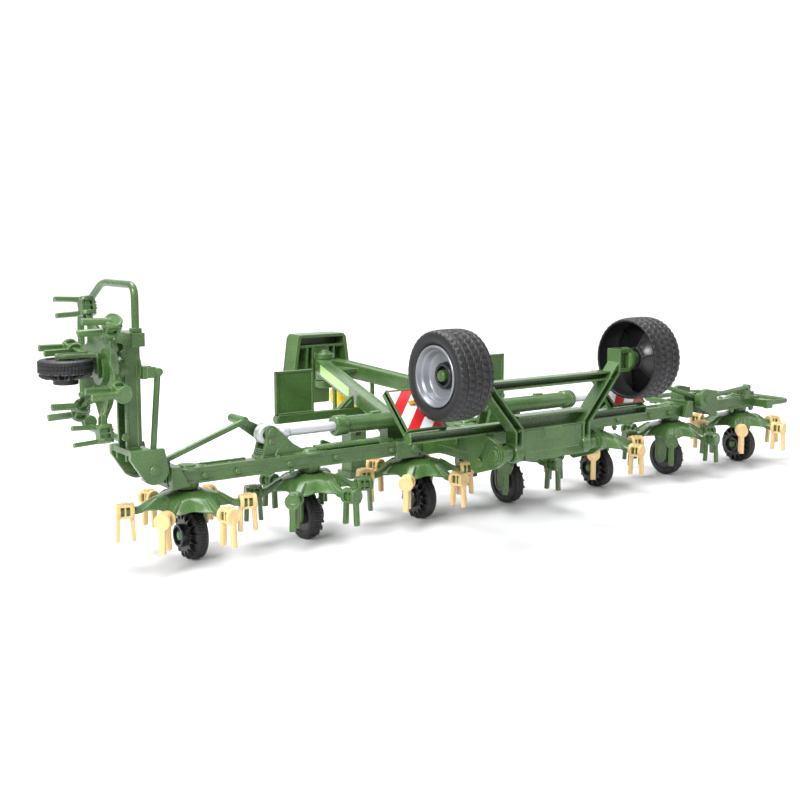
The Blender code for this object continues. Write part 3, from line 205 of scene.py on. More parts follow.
def rounded(points, radius, steps=6):
    """Replace each inner corner of a line by a smooth curve."""
    points = [Vector(point) for point in points]
    result = [points[0]]
    for before, corner, after in zip(points, points[1:], points[2:]):
        start = corner + (before - corner).normalized() * radius
        end = corner + (after - corner).normalized() * radius
        for step in range(steps + 1):
            share = step / steps
            result.append(start.lerp(corner, share).lerp(corner.lerp(end, share), share))
    result.append(points[-1])
    return result


def moved(shape, x=0.0, y=0.0, z=0.0, turn_z=0.0):
    matrix = Matrix.Translation((x, y, z)) @ Matrix.Rotation(turn_z, 4, "Z")
    bmesh.ops.transform(shape, matrix=matrix, verts=shape.verts)
    return shape


def mirrored(shape, sign):
    """The same shape for the other side of the machine."""
    if sign < 0:
        bmesh.ops.transform(shape, matrix=Matrix.Diagonal((-1, 1, 1, 1)), verts=shape.verts)
        bmesh.ops.reverse_faces(shape, faces=shape.faces)
    return shape


# %% [markdown]
# A hole or a slot is cut with a Boolean, Blender's way of taking one solid from another. The
# cutters are removed as soon as the result is kept, so nothing but finished pieces remains.

# %% Cuts
def as_object(shape, name="tool"):
    mesh = bpy.data.meshes.new(name)
    shape.to_mesh(mesh)
    shape.free()
    made = bpy.data.objects.new(name, mesh)
    bpy.context.scene.collection.objects.link(made)
    return made


def carved(shape, cuts):
    stock = as_object(shape)
    tools = [as_object(cut) for cut in cuts]
    for tool in tools:
        modifier = stock.modifiers.new("cut", "BOOLEAN")
        modifier.operation = "DIFFERENCE"
        modifier.solver = "EXACT"
        modifier.object = tool
    bpy.context.view_layer.update()
    result = bmesh.new()
    result.from_object(stock, bpy.context.evaluated_depsgraph_get())
    for used in [stock] + tools:
        bpy.data.objects.remove(used, do_unlink=True)
    return result


# %% [markdown]
# ## From shapes to pieces
# A piece is a named object that rides on one moving body. Its edges are rounded by a Bevel
# modifier, because a mould never leaves a knife edge, and those rounded edges are what catch
# the light on a real toy. A piece may hold parts in two finishes, and may share its mesh.

# %% Make a piece
BUILT = []


def mesh_of(name, parts):
    """One mesh in metres from (shape, finish) parts."""
    whole = bmesh.new()
    mesh = bpy.data.meshes.new(name)
    finishes = []
    for shape, finish in parts:
        if finish not in finishes:
            finishes.append(finish)
            mesh.materials.append(finish)
        for face in shape.faces:
            face.material_index = finishes.index(finish)
            face.smooth = True
        part = bpy.data.meshes.new("part")
        shape.to_mesh(part)
        shape.free()
        whole.from_mesh(part)
        bpy.data.meshes.remove(part)
    bmesh.ops.scale(whole, vec=(MM, MM, MM), verts=whole.verts)
    whole.to_mesh(mesh)
    whole.free()
    return mesh


def piece(name, body, parts, replaces=(), spot=(0, 0, 0), spin=0.0, bevel=0.2):
    """A named piece on a body. parts is a list of (shape, finish), or a mesh made before."""
    mesh = parts if isinstance(parts, bpy.types.Mesh) else mesh_of(name, parts)
    made = bpy.data.objects.new(name, mesh)
    bpy.context.scene.collection.objects.link(made)
    stand = Matrix.Translation(Vector(spot) * MM) @ Matrix.Rotation(spin, 4, "Z")
    made.matrix_world = Matrix.Translation(ORIGIN) @ (FOLD @ stand if body in FOLDED else stand)
    if bevel:
        modifier = made.modifiers.new("rounded edges", "BEVEL")
        modifier.width = bevel * MM
        modifier.segments = 2
        modifier.limit_method = "ANGLE"
        modifier.angle_limit = math.radians(38)
        modifier.harden_normals = True
    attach(made, body)
    if replaces:
        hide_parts(*replaces)
    BUILT.append(name)
    return made


# %% [markdown]
# ## Finishes
# Colours are written as sRGB hex values, as a paint chart gives them, and turned to the
# linear light that Blender works in. One function adds any node with its settings and links.
# Texture coordinates are in metres on every piece, so a pattern's scale is one over its size.

# %% Colour and node helpers
def colour(text):
    """An sRGB hex value as linear red, green, blue and alpha."""
    values = [int(text[i:i + 2], 16) / 255 for i in (1, 3, 5)]
    return [v / 12.92 if v <= 0.04045 else ((v + 0.055) / 1.055) ** 2.4 for v in values] + [1.0]


def add(material, kind, settings=(), **inputs):
    """A node with its settings, its values and the sockets that feed it."""
    made = material.node_tree.nodes.new("ShaderNode" + kind)
    for name, value in dict(settings).items():
        setattr(made, name, value)
    for name, value in inputs.items():
        numbered = name[0] == "i" and name[1:].isdigit()
        socket = made.inputs[int(name[1:]) if numbered else name.replace("_", " ")]
        if isinstance(value, bpy.types.NodeSocket):
            material.node_tree.links.new(value, socket)
        else:
            socket.default_value = value
    return made


def finish(name, roughness, ior=1.5, metallic=0.0, **more):
    """A material with its shader, ready for the patterns that drive it."""
    material = bpy.data.materials.new(name)
    material.use_nodes = True
    shader = material.node_tree.nodes["Principled BSDF"]
    shader.inputs["Roughness"].default_value = roughness
    shader.inputs["IOR"].default_value = ior
    shader.inputs["Metallic"].default_value = metallic
    for socket, value in more.items():
        shader.inputs[socket.replace("_", " ")].default_value = value
    return material, shader


def link(material, output, socket):
    material.node_tree.links.new(output, socket)


# %% [markdown]
# ### Moulded ABS
# ABS plastic, coloured through and injection moulded. The steel mould is spark-eroded, which
# leaves a grain of about 0.15 mm that scatters highlights into a satin sheen; it is drawn at
# 0.5 mm so that it shows. Melt flowing in at different speeds shifts the colour very slightly
# over 10 to 20 mm. Every edge gets a painted highlight, a paler colour mixed in by an edge mask:
# the Bevel node rounds the normals within 0.4 mm of an edge, and where they differ there is an edge.

# %% Moulded ABS
def moulded_plastic(name, base, deep, pale, roughness, ior=1.54, grain_mm=0.5, grain=0.12, flow_mm=14,
                    edge=0.55):
    material, shader = finish(name, roughness, ior)
    place = add(material, "TexCoord").outputs["Object"]
    flow = add(material, "TexNoise", Vector=place, Scale=1 / (flow_mm * MM), Detail=2.0)
    tint = add(material, "Mix", {"data_type": "RGBA"}, i0=flow.outputs["Fac"], i6=colour(deep),
               i7=colour(base))
    spread = add(material, "MapRange", Value=flow.outputs["Fac"])
    spread.inputs["From Min"].default_value = 0.35
    spread.inputs["From Max"].default_value = 0.65
    link(material, spread.outputs["Result"], tint.inputs[0])
    eased = add(material, "Bevel", {"samples": 4}, Radius=0.4 * MM)
    flat = add(material, "NewGeometry").outputs["Normal"]
    facing = add(material, "VectorMath", {"operation": "DOT_PRODUCT"}, i0=eased.outputs["Normal"], i1=flat)
    # painted highlight: a paler colour mixed in within 0.4 mm of every edge
    painted_edge_highlight = add(material, "MapRange", Value=facing.outputs["Value"])
    for socket, value in (("From Min", 0.99), ("From Max", 0.80), ("To Min", 0.0), ("To Max", edge)):
        painted_edge_highlight.inputs[socket].default_value = value
    paler = add(material, "Mix", {"data_type": "RGBA"}, i0=painted_edge_highlight.outputs["Result"], i6=tint.outputs[2],
                i7=colour(pale))
    link(material, paler.outputs[2], shader.inputs["Base Color"])
    pits = add(material, "TexNoise", Vector=place, Scale=1 / (grain_mm * MM), Detail=2.0)
    bump = add(material, "Bump", Strength=grain, Distance=0.05 * MM, Height=pits.outputs["Fac"],
               Normal=eased.outputs["Normal"])
    link(material, bump.outputs["Normal"], shader.inputs["Normal"])
    sheen = add(material, "MapRange", Value=pits.outputs["Fac"])
    sheen.inputs["To Min"].default_value = roughness - 0.08
    sheen.inputs["To Max"].default_value = roughness + 0.08
    link(material, sheen.outputs["Result"], shader.inputs["Roughness"])
    return material


# the third colour of each finish is its painted edge highlight
GREEN = moulded_plastic("green_moulded_abs", "#476833", "#3c5a2c", "#a6c092", 0.27)
BEIGE = moulded_plastic("beige_moulded_acetal", "#e3c48a", "#d9b777", "#f3dfb6", 0.42, 1.48, 0.4, 0.1)
YELLOW = moulded_plastic("yellow_moulded_abs", "#f4d428", "#ecc518", "#faea8a", 0.3)
BLACK = moulded_plastic("black_moulded_abs", "#141416", "#0e0e10", "#2c2d30", 0.3)
LIME = moulded_plastic("light_green_printed_film", "#a9cf7e", "#a1c875", "#bfdd9b", 0.3, 1.5, 0.3, 0.03, 20,
                       0.1)
print("moulded finishes", [material.name for material in (GREEN, BEIGE, YELLOW, BLACK, LIME)])

# %% [markdown]
# ### Soft PVC tyres
# Tyres are moulded in plasticised PVC: nearly black, a broad dull highlight with an oily
# sheen, and a finer matt grain than ABS. Dust sits in the grain and greys it a little.

# %% Tyre material
def soft_tyre(name):
    material, shader = finish(name, 0.5, 1.52)
    place = add(material, "TexCoord").outputs["Object"]
    dust = add(material, "TexNoise", Vector=place, Scale=1 / (6 * MM), Detail=6.0, Roughness=0.65)
    tint = add(material, "Mix", {"data_type": "RGBA"}, i0=dust.outputs["Fac"], i6=colour("#0c0c0d"),
               i7=colour("#18191b"))
    link(material, tint.outputs[2], shader.inputs["Base Color"])
    grain = add(material, "TexNoise", Vector=place, Scale=1 / (0.35 * MM), Detail=3.0)
    bump = add(material, "Bump", Strength=0.18, Distance=0.05 * MM, Height=grain.outputs["Fac"])
    link(material, bump.outputs["Normal"], shader.inputs["Normal"])
    sheen = add(material, "MapRange", Value=dust.outputs["Fac"])
    sheen.inputs["To Min"].default_value = 0.4
    sheen.inputs["To Max"].default_value = 0.56
    link(material, sheen.outputs["Result"], shader.inputs["Roughness"])
    return material


TYRE = soft_tyre("black_moulded_soft_pvc")

# %% [markdown]
# ### Silver lacquer
# The rims and the lift rods are ABS sprayed with aluminium lacquer. Flakes about 0.05 mm
# across lie at random angles, so the surface glitters slightly and its highlight is broad.
# They are drawn at 0.25 mm so that they show. It is not a metal: half metallic does it.

# %% Silver lacquer
def silver_lacquer(name, base, deep, metallic):
    material, shader = finish(name, 0.34, 1.5, metallic)
    place = add(material, "TexCoord").outputs["Object"]
    flakes = add(material, "TexVoronoi", Vector=place, Scale=1 / (0.25 * MM))
    tint = add(material, "Mix", {"data_type": "RGBA"}, i0=flakes.outputs["Distance"], i6=colour(base),
               i7=colour(deep))
    link(material, tint.outputs[2], shader.inputs["Base Color"])
    spray = add(material, "TexNoise", Vector=place, Scale=1 / (0.8 * MM), Detail=2.0)
    bump = add(material, "Bump", Strength=0.08, Distance=0.05 * MM, Height=spray.outputs["Fac"])
    link(material, bump.outputs["Normal"], shader.inputs["Normal"])
    return material


RIM_SILVER = silver_lacquer("silver_lacquered_abs", "#94979b", "#74777c", 0.55)
ROD_SILVER = silver_lacquer("pale_silver_lacquered_abs", "#d3d5d9", "#b4b6bb", 0.25)

# %% [markdown]
# ### Warning stripes and reflectors
# The board faces carry a printed vinyl film with red and white diagonal stripes, each 5.4 mm
# wide. The stripes come from a sawtooth along the diagonal, in the board's own coordinates,
# which its printed face carries in millimetres, so they stay put when the board folds.
# The reflectors are clear amber acrylic: smooth, glossy and deep in colour.

# %% Stripes and amber
def striped_film(name, stripe_mm):
    material, shader = finish(name, 0.33, 1.48)
    place = add(material, "UVMap").outputs["UV"]
    parts = add(material, "SeparateXYZ", Vector=place)
    across = add(material, "Math", {"operation": "SUBTRACT"}, i0=parts.outputs["X"], i1=parts.outputs["Y"])
    scaled = add(material, "Math", {"operation": "MULTIPLY"}, i0=across.outputs[0],
                 i1=1 / (2 * stripe_mm * math.sqrt(2)))
    saw = add(material, "Math", {"operation": "FRACT"}, i0=scaled.outputs[0])
    band = add(material, "MapRange", Value=saw.outputs[0])
    band.inputs["From Min"].default_value = 0.49
    band.inputs["From Max"].default_value = 0.51
    tint = add(material, "Mix", {"data_type": "RGBA"}, i0=band.outputs["Result"], i6=colour("#c8262b"),
               i7=colour("#eceeee"))
    link(material, tint.outputs[2], shader.inputs["Base Color"])
    position = add(material, "TexCoord").outputs["Object"]
    ripple = add(material, "TexNoise", Vector=position, Scale=1 / (3 * MM))
    bump = add(material, "Bump", Strength=0.05, Distance=0.05 * MM, Height=ripple.outputs["Fac"])
    link(material, bump.outputs["Normal"], shader.inputs["Normal"])
    return material


STRIPES = striped_film("red_white_printed_vinyl", 5.4)
# the third colour is the painted edge highlight
AMBER = moulded_plastic("amber_moulded_acrylic", "#e8940c", "#d9820a", "#f6bd4a", 0.14, 1.49, 0.6, 0.05)

# %% [markdown]
# CAD nodes whose shape is already right keep it and only get a finish. The rest are replaced
# further down. A node's own object stays where it is and its mesh is never touched.

# %% Finish the CAD nodes that stay
SLOT_FINISH = {"green_frame": GREEN, "rotor_green": GREEN, "tine_beige": GREEN, "rotor_wheel": TYRE,
               "transport_tyre": TYRE, "rim_silver": RIM_SILVER, "rod_silver": ROD_SILVER,
               "shaft_black": BLACK, "guard_yellow": YELLOW, "warning_board": STRIPES}
dressed = 0
for entry in frame["record"]["subparts"]:
    mesh = frame["nodes"][entry["node"]].data
    mesh.materials.clear()
    mesh.materials.append(SLOT_FINISH[entry["material_slot"]])
    dressed += 1
print("CAD nodes given a finish", dressed)

# %% [markdown]
# ## Rotors
# A rotor is an umbrella: a dome moulded with six swan-necked arms, and on each arm a holder
# clipped on from outside. The dome is turned, then swelled six times round so its skirt runs
# out into the arms. Eight rotors share one mesh; only the colour of the holders alternates.

# %% Domes and arms
ARM_PHASE = math.radians(44)
DOME_R = 22.5


def arm_swell(radius, along, angle):
    """The skirt runs out into the arms and is scooped away between them."""
    reach = max(0, (radius - 9) / (DOME_R - 9))
    gap = (0.5 - 0.5 * math.cos(6 * (angle - ARM_PHASE))) ** 1.3
    return radius * (1 - 0.26 * gap * reach), along + (1 - gap) * 0.5 * reach + gap * 1.2 * reach


def rotor_dome():
    top, rim = HUB_BOTTOM + 7.7, HUB_BOTTOM - 1.2
    outer = [(3.9, top), (7.0, top), (7.9, top - 0.3), (9.2, top - 0.9), (11.5, top - 1.5), (14, top - 2.4),
             (16.5, top - 3.8), (18.8, top - 5.7), (20.8, top - 7.4), (DOME_R, rim + 0.6), (DOME_R, rim)]
    inner = [(21.6, rim), (19.6, top - 8.0), (17, top - 6.2), (13.5, top - 4.4), (9.5, top - 3.4),
             (7.6, top - 4.4), (7.2, HUB_BOTTOM), (3.9, HUB_BOTTOM)]
    parts = [(turn(outer + inner, sides=72, swell=arm_swell), GREEN)]
    section = [(-2.3, -1.6), (-1.5, -1.6), (-1.1, 0.5), (1.1, 0.5), (1.5, -1.6), (2.3, -1.6), (2.3, 0.7),
               (1.5, 1.6), (-1.5, 1.6), (-2.3, 0.7)]
    for step in range(6):
        path = [(14.5, 0.6, top - 3.4), (17.5, 0.2, top - 4.9), (20.5, 0, top - 6.9), (23, 0, top - 8.2),
                (25.5, 0, HOLDER_Z), (29, 0, HOLDER_Z), (33.2, 0, HOLDER_Z)]
        parts.append((moved(sweep(path, section), turn_z=ARM_PHASE + step * math.pi / 3), GREEN))
    return parts


def rotor_number(name):
    side, number = name.split("_")
    return SIDES[side] * (int(number) - 0.5) * SPACING


ROTORS = [f"{side}_{number}" for side in SIDES for number in (1, 2, 3, 4)]
dome_mesh = mesh_of("rotor_dome", rotor_dome())
for name in ROTORS:
    piece(f"rotor_dome_{name}", f"rotor_{name}", dome_mesh,
          [f"rotor_{name}"], (rotor_number(name), 0, 0), bevel=0.25)
print("dome triangles", sum(len(face.vertices) - 2 for face in dome_mesh.polygons))

# %% [markdown]
# A tine holder is a spool lying along the arm: two discs 8 mm across, joined above and below
# by short bars, so that a square window shows the end of the arm between them. Each disc runs
# down into one tine. The clip ridges on top are there so small fingers can press it home.

# %% Tine holders
TINE_BOTTOM = HOLDER_Z - 15


def tine(x, lean):
    """A tine to hang from a disc, leaning a little along the arm, and its drop."""
    half, drop = 1.5, HOLDER_Z - TINE_BOTTOM
    path = [(x, 0, HOLDER_Z - 1), (x + lean, 0, TINE_BOTTOM)]
    section = [(-half, -1.05), (half, -1.05), (half, 0.6), (0.9, 1.05), (-0.9, 1.05), (-half, 0.6)]
    return sweep(path, section, (1, 0, 0)), drop


def holder(finish_used):
    parts = []
    for x, outward in ((26.8, -1), (33.2, 1)):
        face = [(0.001, -1.0), (3.6, -1.0), (4.0, -0.6), (4.0, 0.8), (3.7, 1.1), (3.1, 1.1), (2.9, 0.85),
                (0.001, 0.85)]
        parts.append((turn(face, "X" if outward > 0 else "-X", (x, 0, HOLDER_Z), 32), finish_used))
        parts.append((tine(x, outward * 0.7)[0], finish_used))
    for z in (2.75, -2.75):
        parts.append((block((27, -2.7, HOLDER_Z + z - 0.65), (33, 2.7, HOLDER_Z + z + 0.65)), finish_used))
    for x in (28.6, 30, 31.4):
        parts.append((block((x - 0.4, -2.2, HOLDER_Z + 3), (x + 0.4, 2.2, HOLDER_Z + 4.1)), finish_used))
    parts.append((block((29.6, -2.65, HOLDER_Z - 3), (30.4, 2.65, HOLDER_Z + 3)), finish_used))
    return parts


def holders(finish_used):
    parts = []
    for step in range(6):
        angle = ARM_PHASE + step * math.pi / 3
        parts += [(moved(shape, turn_z=angle), used) for shape, used in holder(finish_used)]
    return parts


BEIGE_ROTORS = {"left_1", "left_3", "right_2", "right_4"}
beige_holders = mesh_of("tine_holders_beige", holders(BEIGE))
green_holders = mesh_of("tine_holders_green", holders(GREEN))
for name in ROTORS:
    beige = name in BEIGE_ROTORS
    piece(f"tine_holders_{name}", f"rotor_{name}",
          beige_holders if beige else green_holders, (), (rotor_number(name), 0, 0), bevel=0.2)
print("holder triangles per rotor", sum(len(face.vertices) - 2 for face in beige_holders.polygons))

# %% [markdown]
# ## Rotor wheels
# Each rotor runs on a small wheel whose cog drives it. The tyre has three rows of fine
# crosswise ribs, staggered from row to row, 0.35 mm high. The cog has sixteen pointed teeth.
# Both are turned, with the radius made to rise and fall round the wheel.

# %% Tyre, cog and hub
TYRE_IN, TYRE_OUT = -0.65, 5.85
RIBS = 48


def rib_swell(radius, along, angle):
    if radius < WHEEL_R - 0.25:
        return radius, along
    row = min(2, int((along - TYRE_IN) / (TYRE_OUT - TYRE_IN) * 3))
    step = round(angle / (2 * math.pi) * RIBS * 3)
    return radius - (0.38 if (step + row * 2) % 3 == 0 else 0), along


def rotor_wheel_parts():
    width = TYRE_OUT - TYRE_IN
    tread = []
    for row in range(3):
        low = TYRE_IN + 0.55 + row * (width - 1.1) / 3
        high = low + (width - 1.1) / 3
        tread += [(WHEEL_R - 0.4, low), (WHEEL_R, low + 0.15), (WHEEL_R, high - 0.15), (WHEEL_R - 0.4, high)]
    tyre = [(7.6, TYRE_IN), (10.4, TYRE_IN - 0.1), (11.4, TYRE_IN + 0.15)] + tread
    tyre += [(11.4, TYRE_OUT - 0.15), (10.2, TYRE_OUT + 0.05), (8.8, TYRE_OUT), (8.4, TYRE_OUT - 0.7),
             (7.6, TYRE_OUT - 0.7)]

    def tooth_swell(radius, along, angle):
        if radius < 8.5:
            return radius, along
        place = (angle / (2 * math.pi) * 16) % 1
        point = max(0.0, 1 - abs(place - 0.5) * 3.2)
        return 7.9 + (radius - 7.9) * point, along

    cog = [(2.9, -3.2), (5.0, -3.2), (7.9, -2.9), (10.2, -2.9), (12.0, -1.6), (12.0, -0.7), (7.9, 0.2),
           (2.9, 0.2)]
    barrel = [(4.5, -5.65), (5.4, -5.65), (5.7, -5.35), (5.7, -2.4), (6.4, -2.0), (2.9, -2.0), (2.9, -3.9),
              (4.5, -3.9)]
    flank = [(2.9, 5.1), (8.0, 5.1), (8.0, 4.3), (2.9, 4.3)]
    boss = [(2.9, 4.0), (4.3, 4.0), (4.3, 5.5), (2.9, 5.5)]
    parts = [(turn(tyre, "X", sides=RIBS * 3, swell=rib_swell), TYRE),
             (turn(cog, "X", sides=128, swell=tooth_swell), BLACK)]
    return parts + [(turn(profile, "X"), BLACK) for profile in (barrel, flank, boss)]


def tyre_side(name):
    """+1 where a rotor's tyre lies to the machine's right of its axis, else -1."""
    side, number = name.split("_")
    return 1 if (int(number) + (side == "left")) % 2 == 0 else -1


wheel_mesh = mesh_of("rotor_wheel", rotor_wheel_parts())
for name in ROTORS:
    spin = 0 if tyre_side(name) > 0 else math.pi
    piece(f"rotor_wheel_{name}", f"wheel_{name}", wheel_mesh,
          [f"wheel_{name}"], (rotor_number(name), 0, WHEEL_R), spin, bevel=0.12)
print("rotor wheel triangles", sum(len(face.vertices) - 2 for face in wheel_mesh.polygons))

# %% [markdown]
# The leg beside each wheel is one moulding with the bridge over the tyre and the post that
# the dome turns on. It has a rounded foot with a raised rim, and its axle shows as a green
# button in the middle of the cog. A dark neck closes the gap under the gearbox.

# %% Wheel legs
def leg_parts():
    inside = TYRE_OUT + 0.3
    outside = inside + 2
    top = HUB_BOTTOM - 0.3
    outline = [(6.2, top - 0.5), (4.7, top - 5)] + arc((0, WHEEL_R), 4.5, 0, -180, 20)
    outline += [(-4.7, top - 5), (-6.2, top - 0.5)]
    rim_out = [(6.2, top - 0.9), (4.7, top - 5)] + arc((0, WHEEL_R), 4.5, 0, -180, 20)
    rim_out += [(-4.7, top - 5), (-6.2, top - 0.9)]
    rim_in = [(-5.0, top - 0.9), (-3.6, top - 5)] + arc((0, WHEEL_R), 3.4, 180, 360, 20)
    rim_in += [(3.6, top - 5), (5.0, top - 0.9)]
    shoulder = plate([(-6.2, top - 1.8), (6.2, top - 1.8), (5.6, top), (-5.6, top)], "X", -3.5, outside)
    axle = [(0.001, -5.3), (1.5, -5.3), (2.5, -4.6), (2.5, inside + 1), (0.001, inside + 1)]
    return [(plate(outline, "X", inside, outside - 0.5), GREEN),
            (plate(rim_out + rim_in, "X", outside - 0.6, outside), GREEN),
            (shoulder, GREEN), (disc(3.5, top - 1, HUB_BOTTOM + 7.9, sides=32), GREEN),
            (turn(axle, "X", (0, 0, WHEEL_R), 32), GREEN),
            (turn([(3.4, top + 7.9), (7.2, top + 7.9), (7.2, top + 8.35), (3.4, top + 8.35)]), BLACK)]


CARRIER = {"1": "centre", "2": "wing_{}", "3": "wing_{}", "4": "outer_{}"}
leg_mesh = mesh_of("wheel_leg", leg_parts())
for name in ROTORS:
    side, number = name.split("_")
    body = CARRIER[number].format(side)
    spin = 0 if tyre_side(name) > 0 else math.pi
    spot = (rotor_number(name), 0, 0)
    piece(f"leg_{name}", body, leg_mesh, [f"wheel_leg_{name}"], spot, spin, bevel=0.25)

# %% [markdown]
# ## Transport wheels
# The two wide road wheels have a flotation tread: five ribs round the tyre, parted by zigzag
# grooves and cut by short cross slots, with square lugs on the shoulders. Every ring of points
# across the width is made with its own rule for depth and sidestep, so the tread is real.

# %% Tread
SLOTS = 40
HALF = size_of("transport_tyre_right").x / 2


def crown(u):
    """Radius of the tyre over its width: flat in the middle, falling at the shoulders."""
    return TRANSPORT_R - 0.9 * abs(u / HALF) ** 4


def transport_tyre_parts():
    sides = SLOTS * 4
    rows = []

    def ring(u, depth=0.0, zigzag=0.0, slots=0, phase=0, radius=None):
        row = []
        for step in range(sides):
            angle = 2 * math.pi * step / sides
            cell = (step + phase) % 4
            deep = depth + (1.0 if slots and cell == 0 else 0.0)
            shift = zigzag * (1 if ((step + phase) // 2) % 2 else -1)
            r = (radius if radius is not None else crown(u)) - deep
            row.append((u + shift, r * math.cos(angle), r * math.sin(angle)))
        rows.append(row)

    ring(-HALF, radius=TRANSPORT_R - 2.2)
    ring(-HALF, radius=TRANSPORT_R - 1.3)
    ring(-9.5, slots=1)
    ring(-8.0, slots=1)
    ring(-7.7)
    for count, groove in enumerate((-6.3, -2.2, 2.2, 6.3)):
        ring(groove - 0.75, zigzag=0.25)
        ring(groove - 0.5, depth=0.0, zigzag=0.25)
        ring(groove - 0.4, depth=1.1, zigzag=0.25)
        ring(groove + 0.4, depth=1.1, zigzag=0.25)
        ring(groove + 0.5, depth=0.0, zigzag=0.25)
        ring(groove + 0.75, zigzag=0.25)
        if groove < 6:
            middle = groove + 2.1
            ring(middle - 0.9, slots=1, phase=2 * (count % 2))
            ring(middle + 0.9, slots=1, phase=2 * (count % 2))
    ring(7.7)
    ring(8.0, slots=1)
    ring(9.2, slots=1)
    for u, radius in ((9.75, 21.2), (10.1, 19.9), (10.15, 18.6), (9.9, 17.2), (9.4, 16.2), (8.8, 15.6),
                      (6.6, 15.6), (5.4, 20.3), (-9.4, 20.4)):
        ring(u, radius=radius)
    points = skin(rows, closed_row=True)
    return [(points, TYRE)]


# %% [markdown]
# The rim is a deep dish in two steps: a bright rounded lip, a wall, a ledge and a floor that
# cones down to the hub. Behind it the wheel is a hollow black shell with a glossy cone, four
# ribs and a boss, which shows from the machine's middle. The cap of the axle is green.

# %% Rims and hollow shells
def rim_parts():
    silver = [(15.3, 7.0), (15.3, 9.6), (14.9, 9.95), (14.3, 9.95), (13.9, 9.5), (13.5, 8.0),
              (13.2, 7.6), (12.6, 7.4), (12.2, 6.9), (11.6, 4.4), (11.1, 3.9), (9.8, 3.3), (8.2, 2.7),
              (6.6, 2.3), (6.3, 1.4), (11.9, 2.4), (13.6, 6.0)]
    hub = [(3.3, 1.0), (6.4, 1.0), (6.4, 4.3), (6.0, 4.8), (4.9, 4.8), (4.6, 4.4), (4.5, 2.0), (3.3, 2.0)]
    valve = [(0.001, 0), (1.15, 0), (1.15, 1.4), (0.75, 1.7), (0.001, 1.7)]
    return [(turn(silver, "X", sides=96), RIM_SILVER), (turn(hub, "X", sides=64), BLACK),
            (turn(valve, "X", (2.3, 5.6, -7.6), 24), BLACK),
            (disc(0.62, 3.6, 4.6, "X", (0, 5.6, -7.6), 16, 0.2), RIM_SILVER)]


def shell_parts():
    cone = [(3.4, -4.0), (6.0, -4.0), (6.6, -3.4), (7.4, -2.0), (12.5, 0.2), (17.5, 2.6), (20.1, 4.6),
            (20.1, 5.2), (17.0, 4.4), (11.5, 1.4), (6.4, 0.6), (3.4, 0.6)]
    parts = [(turn(cone, "X", sides=96), BLACK)]
    for step in range(6):
        rib = [(6.2, -3.6), (8.0, -2.6), (13.5, -0.6), (19.9, 2.2), (19.9, 4.0), (6.2, 0.0)]
        rib = plate([(y, x) for y, x in rib], "Z", -0.4, 0.4)
        swap_xy = Matrix(((0, 1, 0, 0), (1, 0, 0, 0), (0, 0, 1, 0), (0, 0, 0, 1)))
        around = Matrix.Rotation(step * math.pi / 3 + 0.3, 4, "X")
        matrix = around @ Matrix.Rotation(math.radians(90), 4, "X") @ swap_xy
        bmesh.ops.transform(rib, matrix=matrix, verts=rib.verts)
        bmesh.ops.recalc_face_normals(rib, faces=rib.faces)
        parts.append((rib, BLACK))
    return parts


tyre_mesh = mesh_of("transport_tyre", transport_tyre_parts())
rim_mesh = mesh_of("transport_rim", rim_parts())
shell_mesh = mesh_of("transport_shell", shell_parts())
for side, sign in SIDES.items():
    body = f"transport_wheel_{side}"
    spot = (sign * TRANSPORT.x if sign > 0 else (centre_of("transport_tyre_left") - ORIGIN).x / MM,
            TRANSPORT.y, TRANSPORT.z)
    spin = 0 if sign > 0 else math.pi
    piece(f"tyre_{side}", body, tyre_mesh, [f"transport_tyre_{side}"], spot, spin, bevel=0)
    piece(f"rim_{side}", body, rim_mesh, [f"transport_rim_{side}"], spot, spin, bevel=0.15)
    piece(f"wheel_shell_{side}", body, shell_mesh, (), spot, spin, bevel=0.15)
print("tread triangles", sum(len(face.vertices) - 2 for face in tyre_mesh.polygons))

# %% [markdown]
# ## Transport chassis
# A swinging yoke moulded as open channels: a web with two flanges, hollow towards the rear, so
# the plastic cools evenly. The two arms run up from their pivots, bend outwards and carry the
# axle blocks; two cross-bars tie them, and a cover with a rounded tab closes the bottom.
# A U-shaped section swept along each line makes web and flanges in one go.

# %% Channels, axle blocks and cover
ARM_X = 24.0
ARM_BEND_Z = CHASSIS.z + 11
BLOCK_X = TRANSPORT.x - 16


def channel(points, width, depth, wall, up):
    """A U-shaped bar along a line, closed in front and open to the rear."""
    w, inner = width / 2, width / 2 - wall
    section = [(-w, -depth), (-w, 0), (w, 0), (w, -depth), (inner, -depth), (inner, -wall), (-inner, -wall),
               (-inner, -depth)]
    return sweep(points, section, up)


def hex_nut(centre, size, low, high, axis="X"):
    """A moulded nut with its flats, lying along an axis."""
    a, b = (centre[1], centre[2]) if axis == "X" else (centre[0], centre[2])
    return plate([(a + size * math.cos(k * math.pi / 3), b + size * math.sin(k * math.pi / 3))
                  for k in range(6)], axis, low, high)


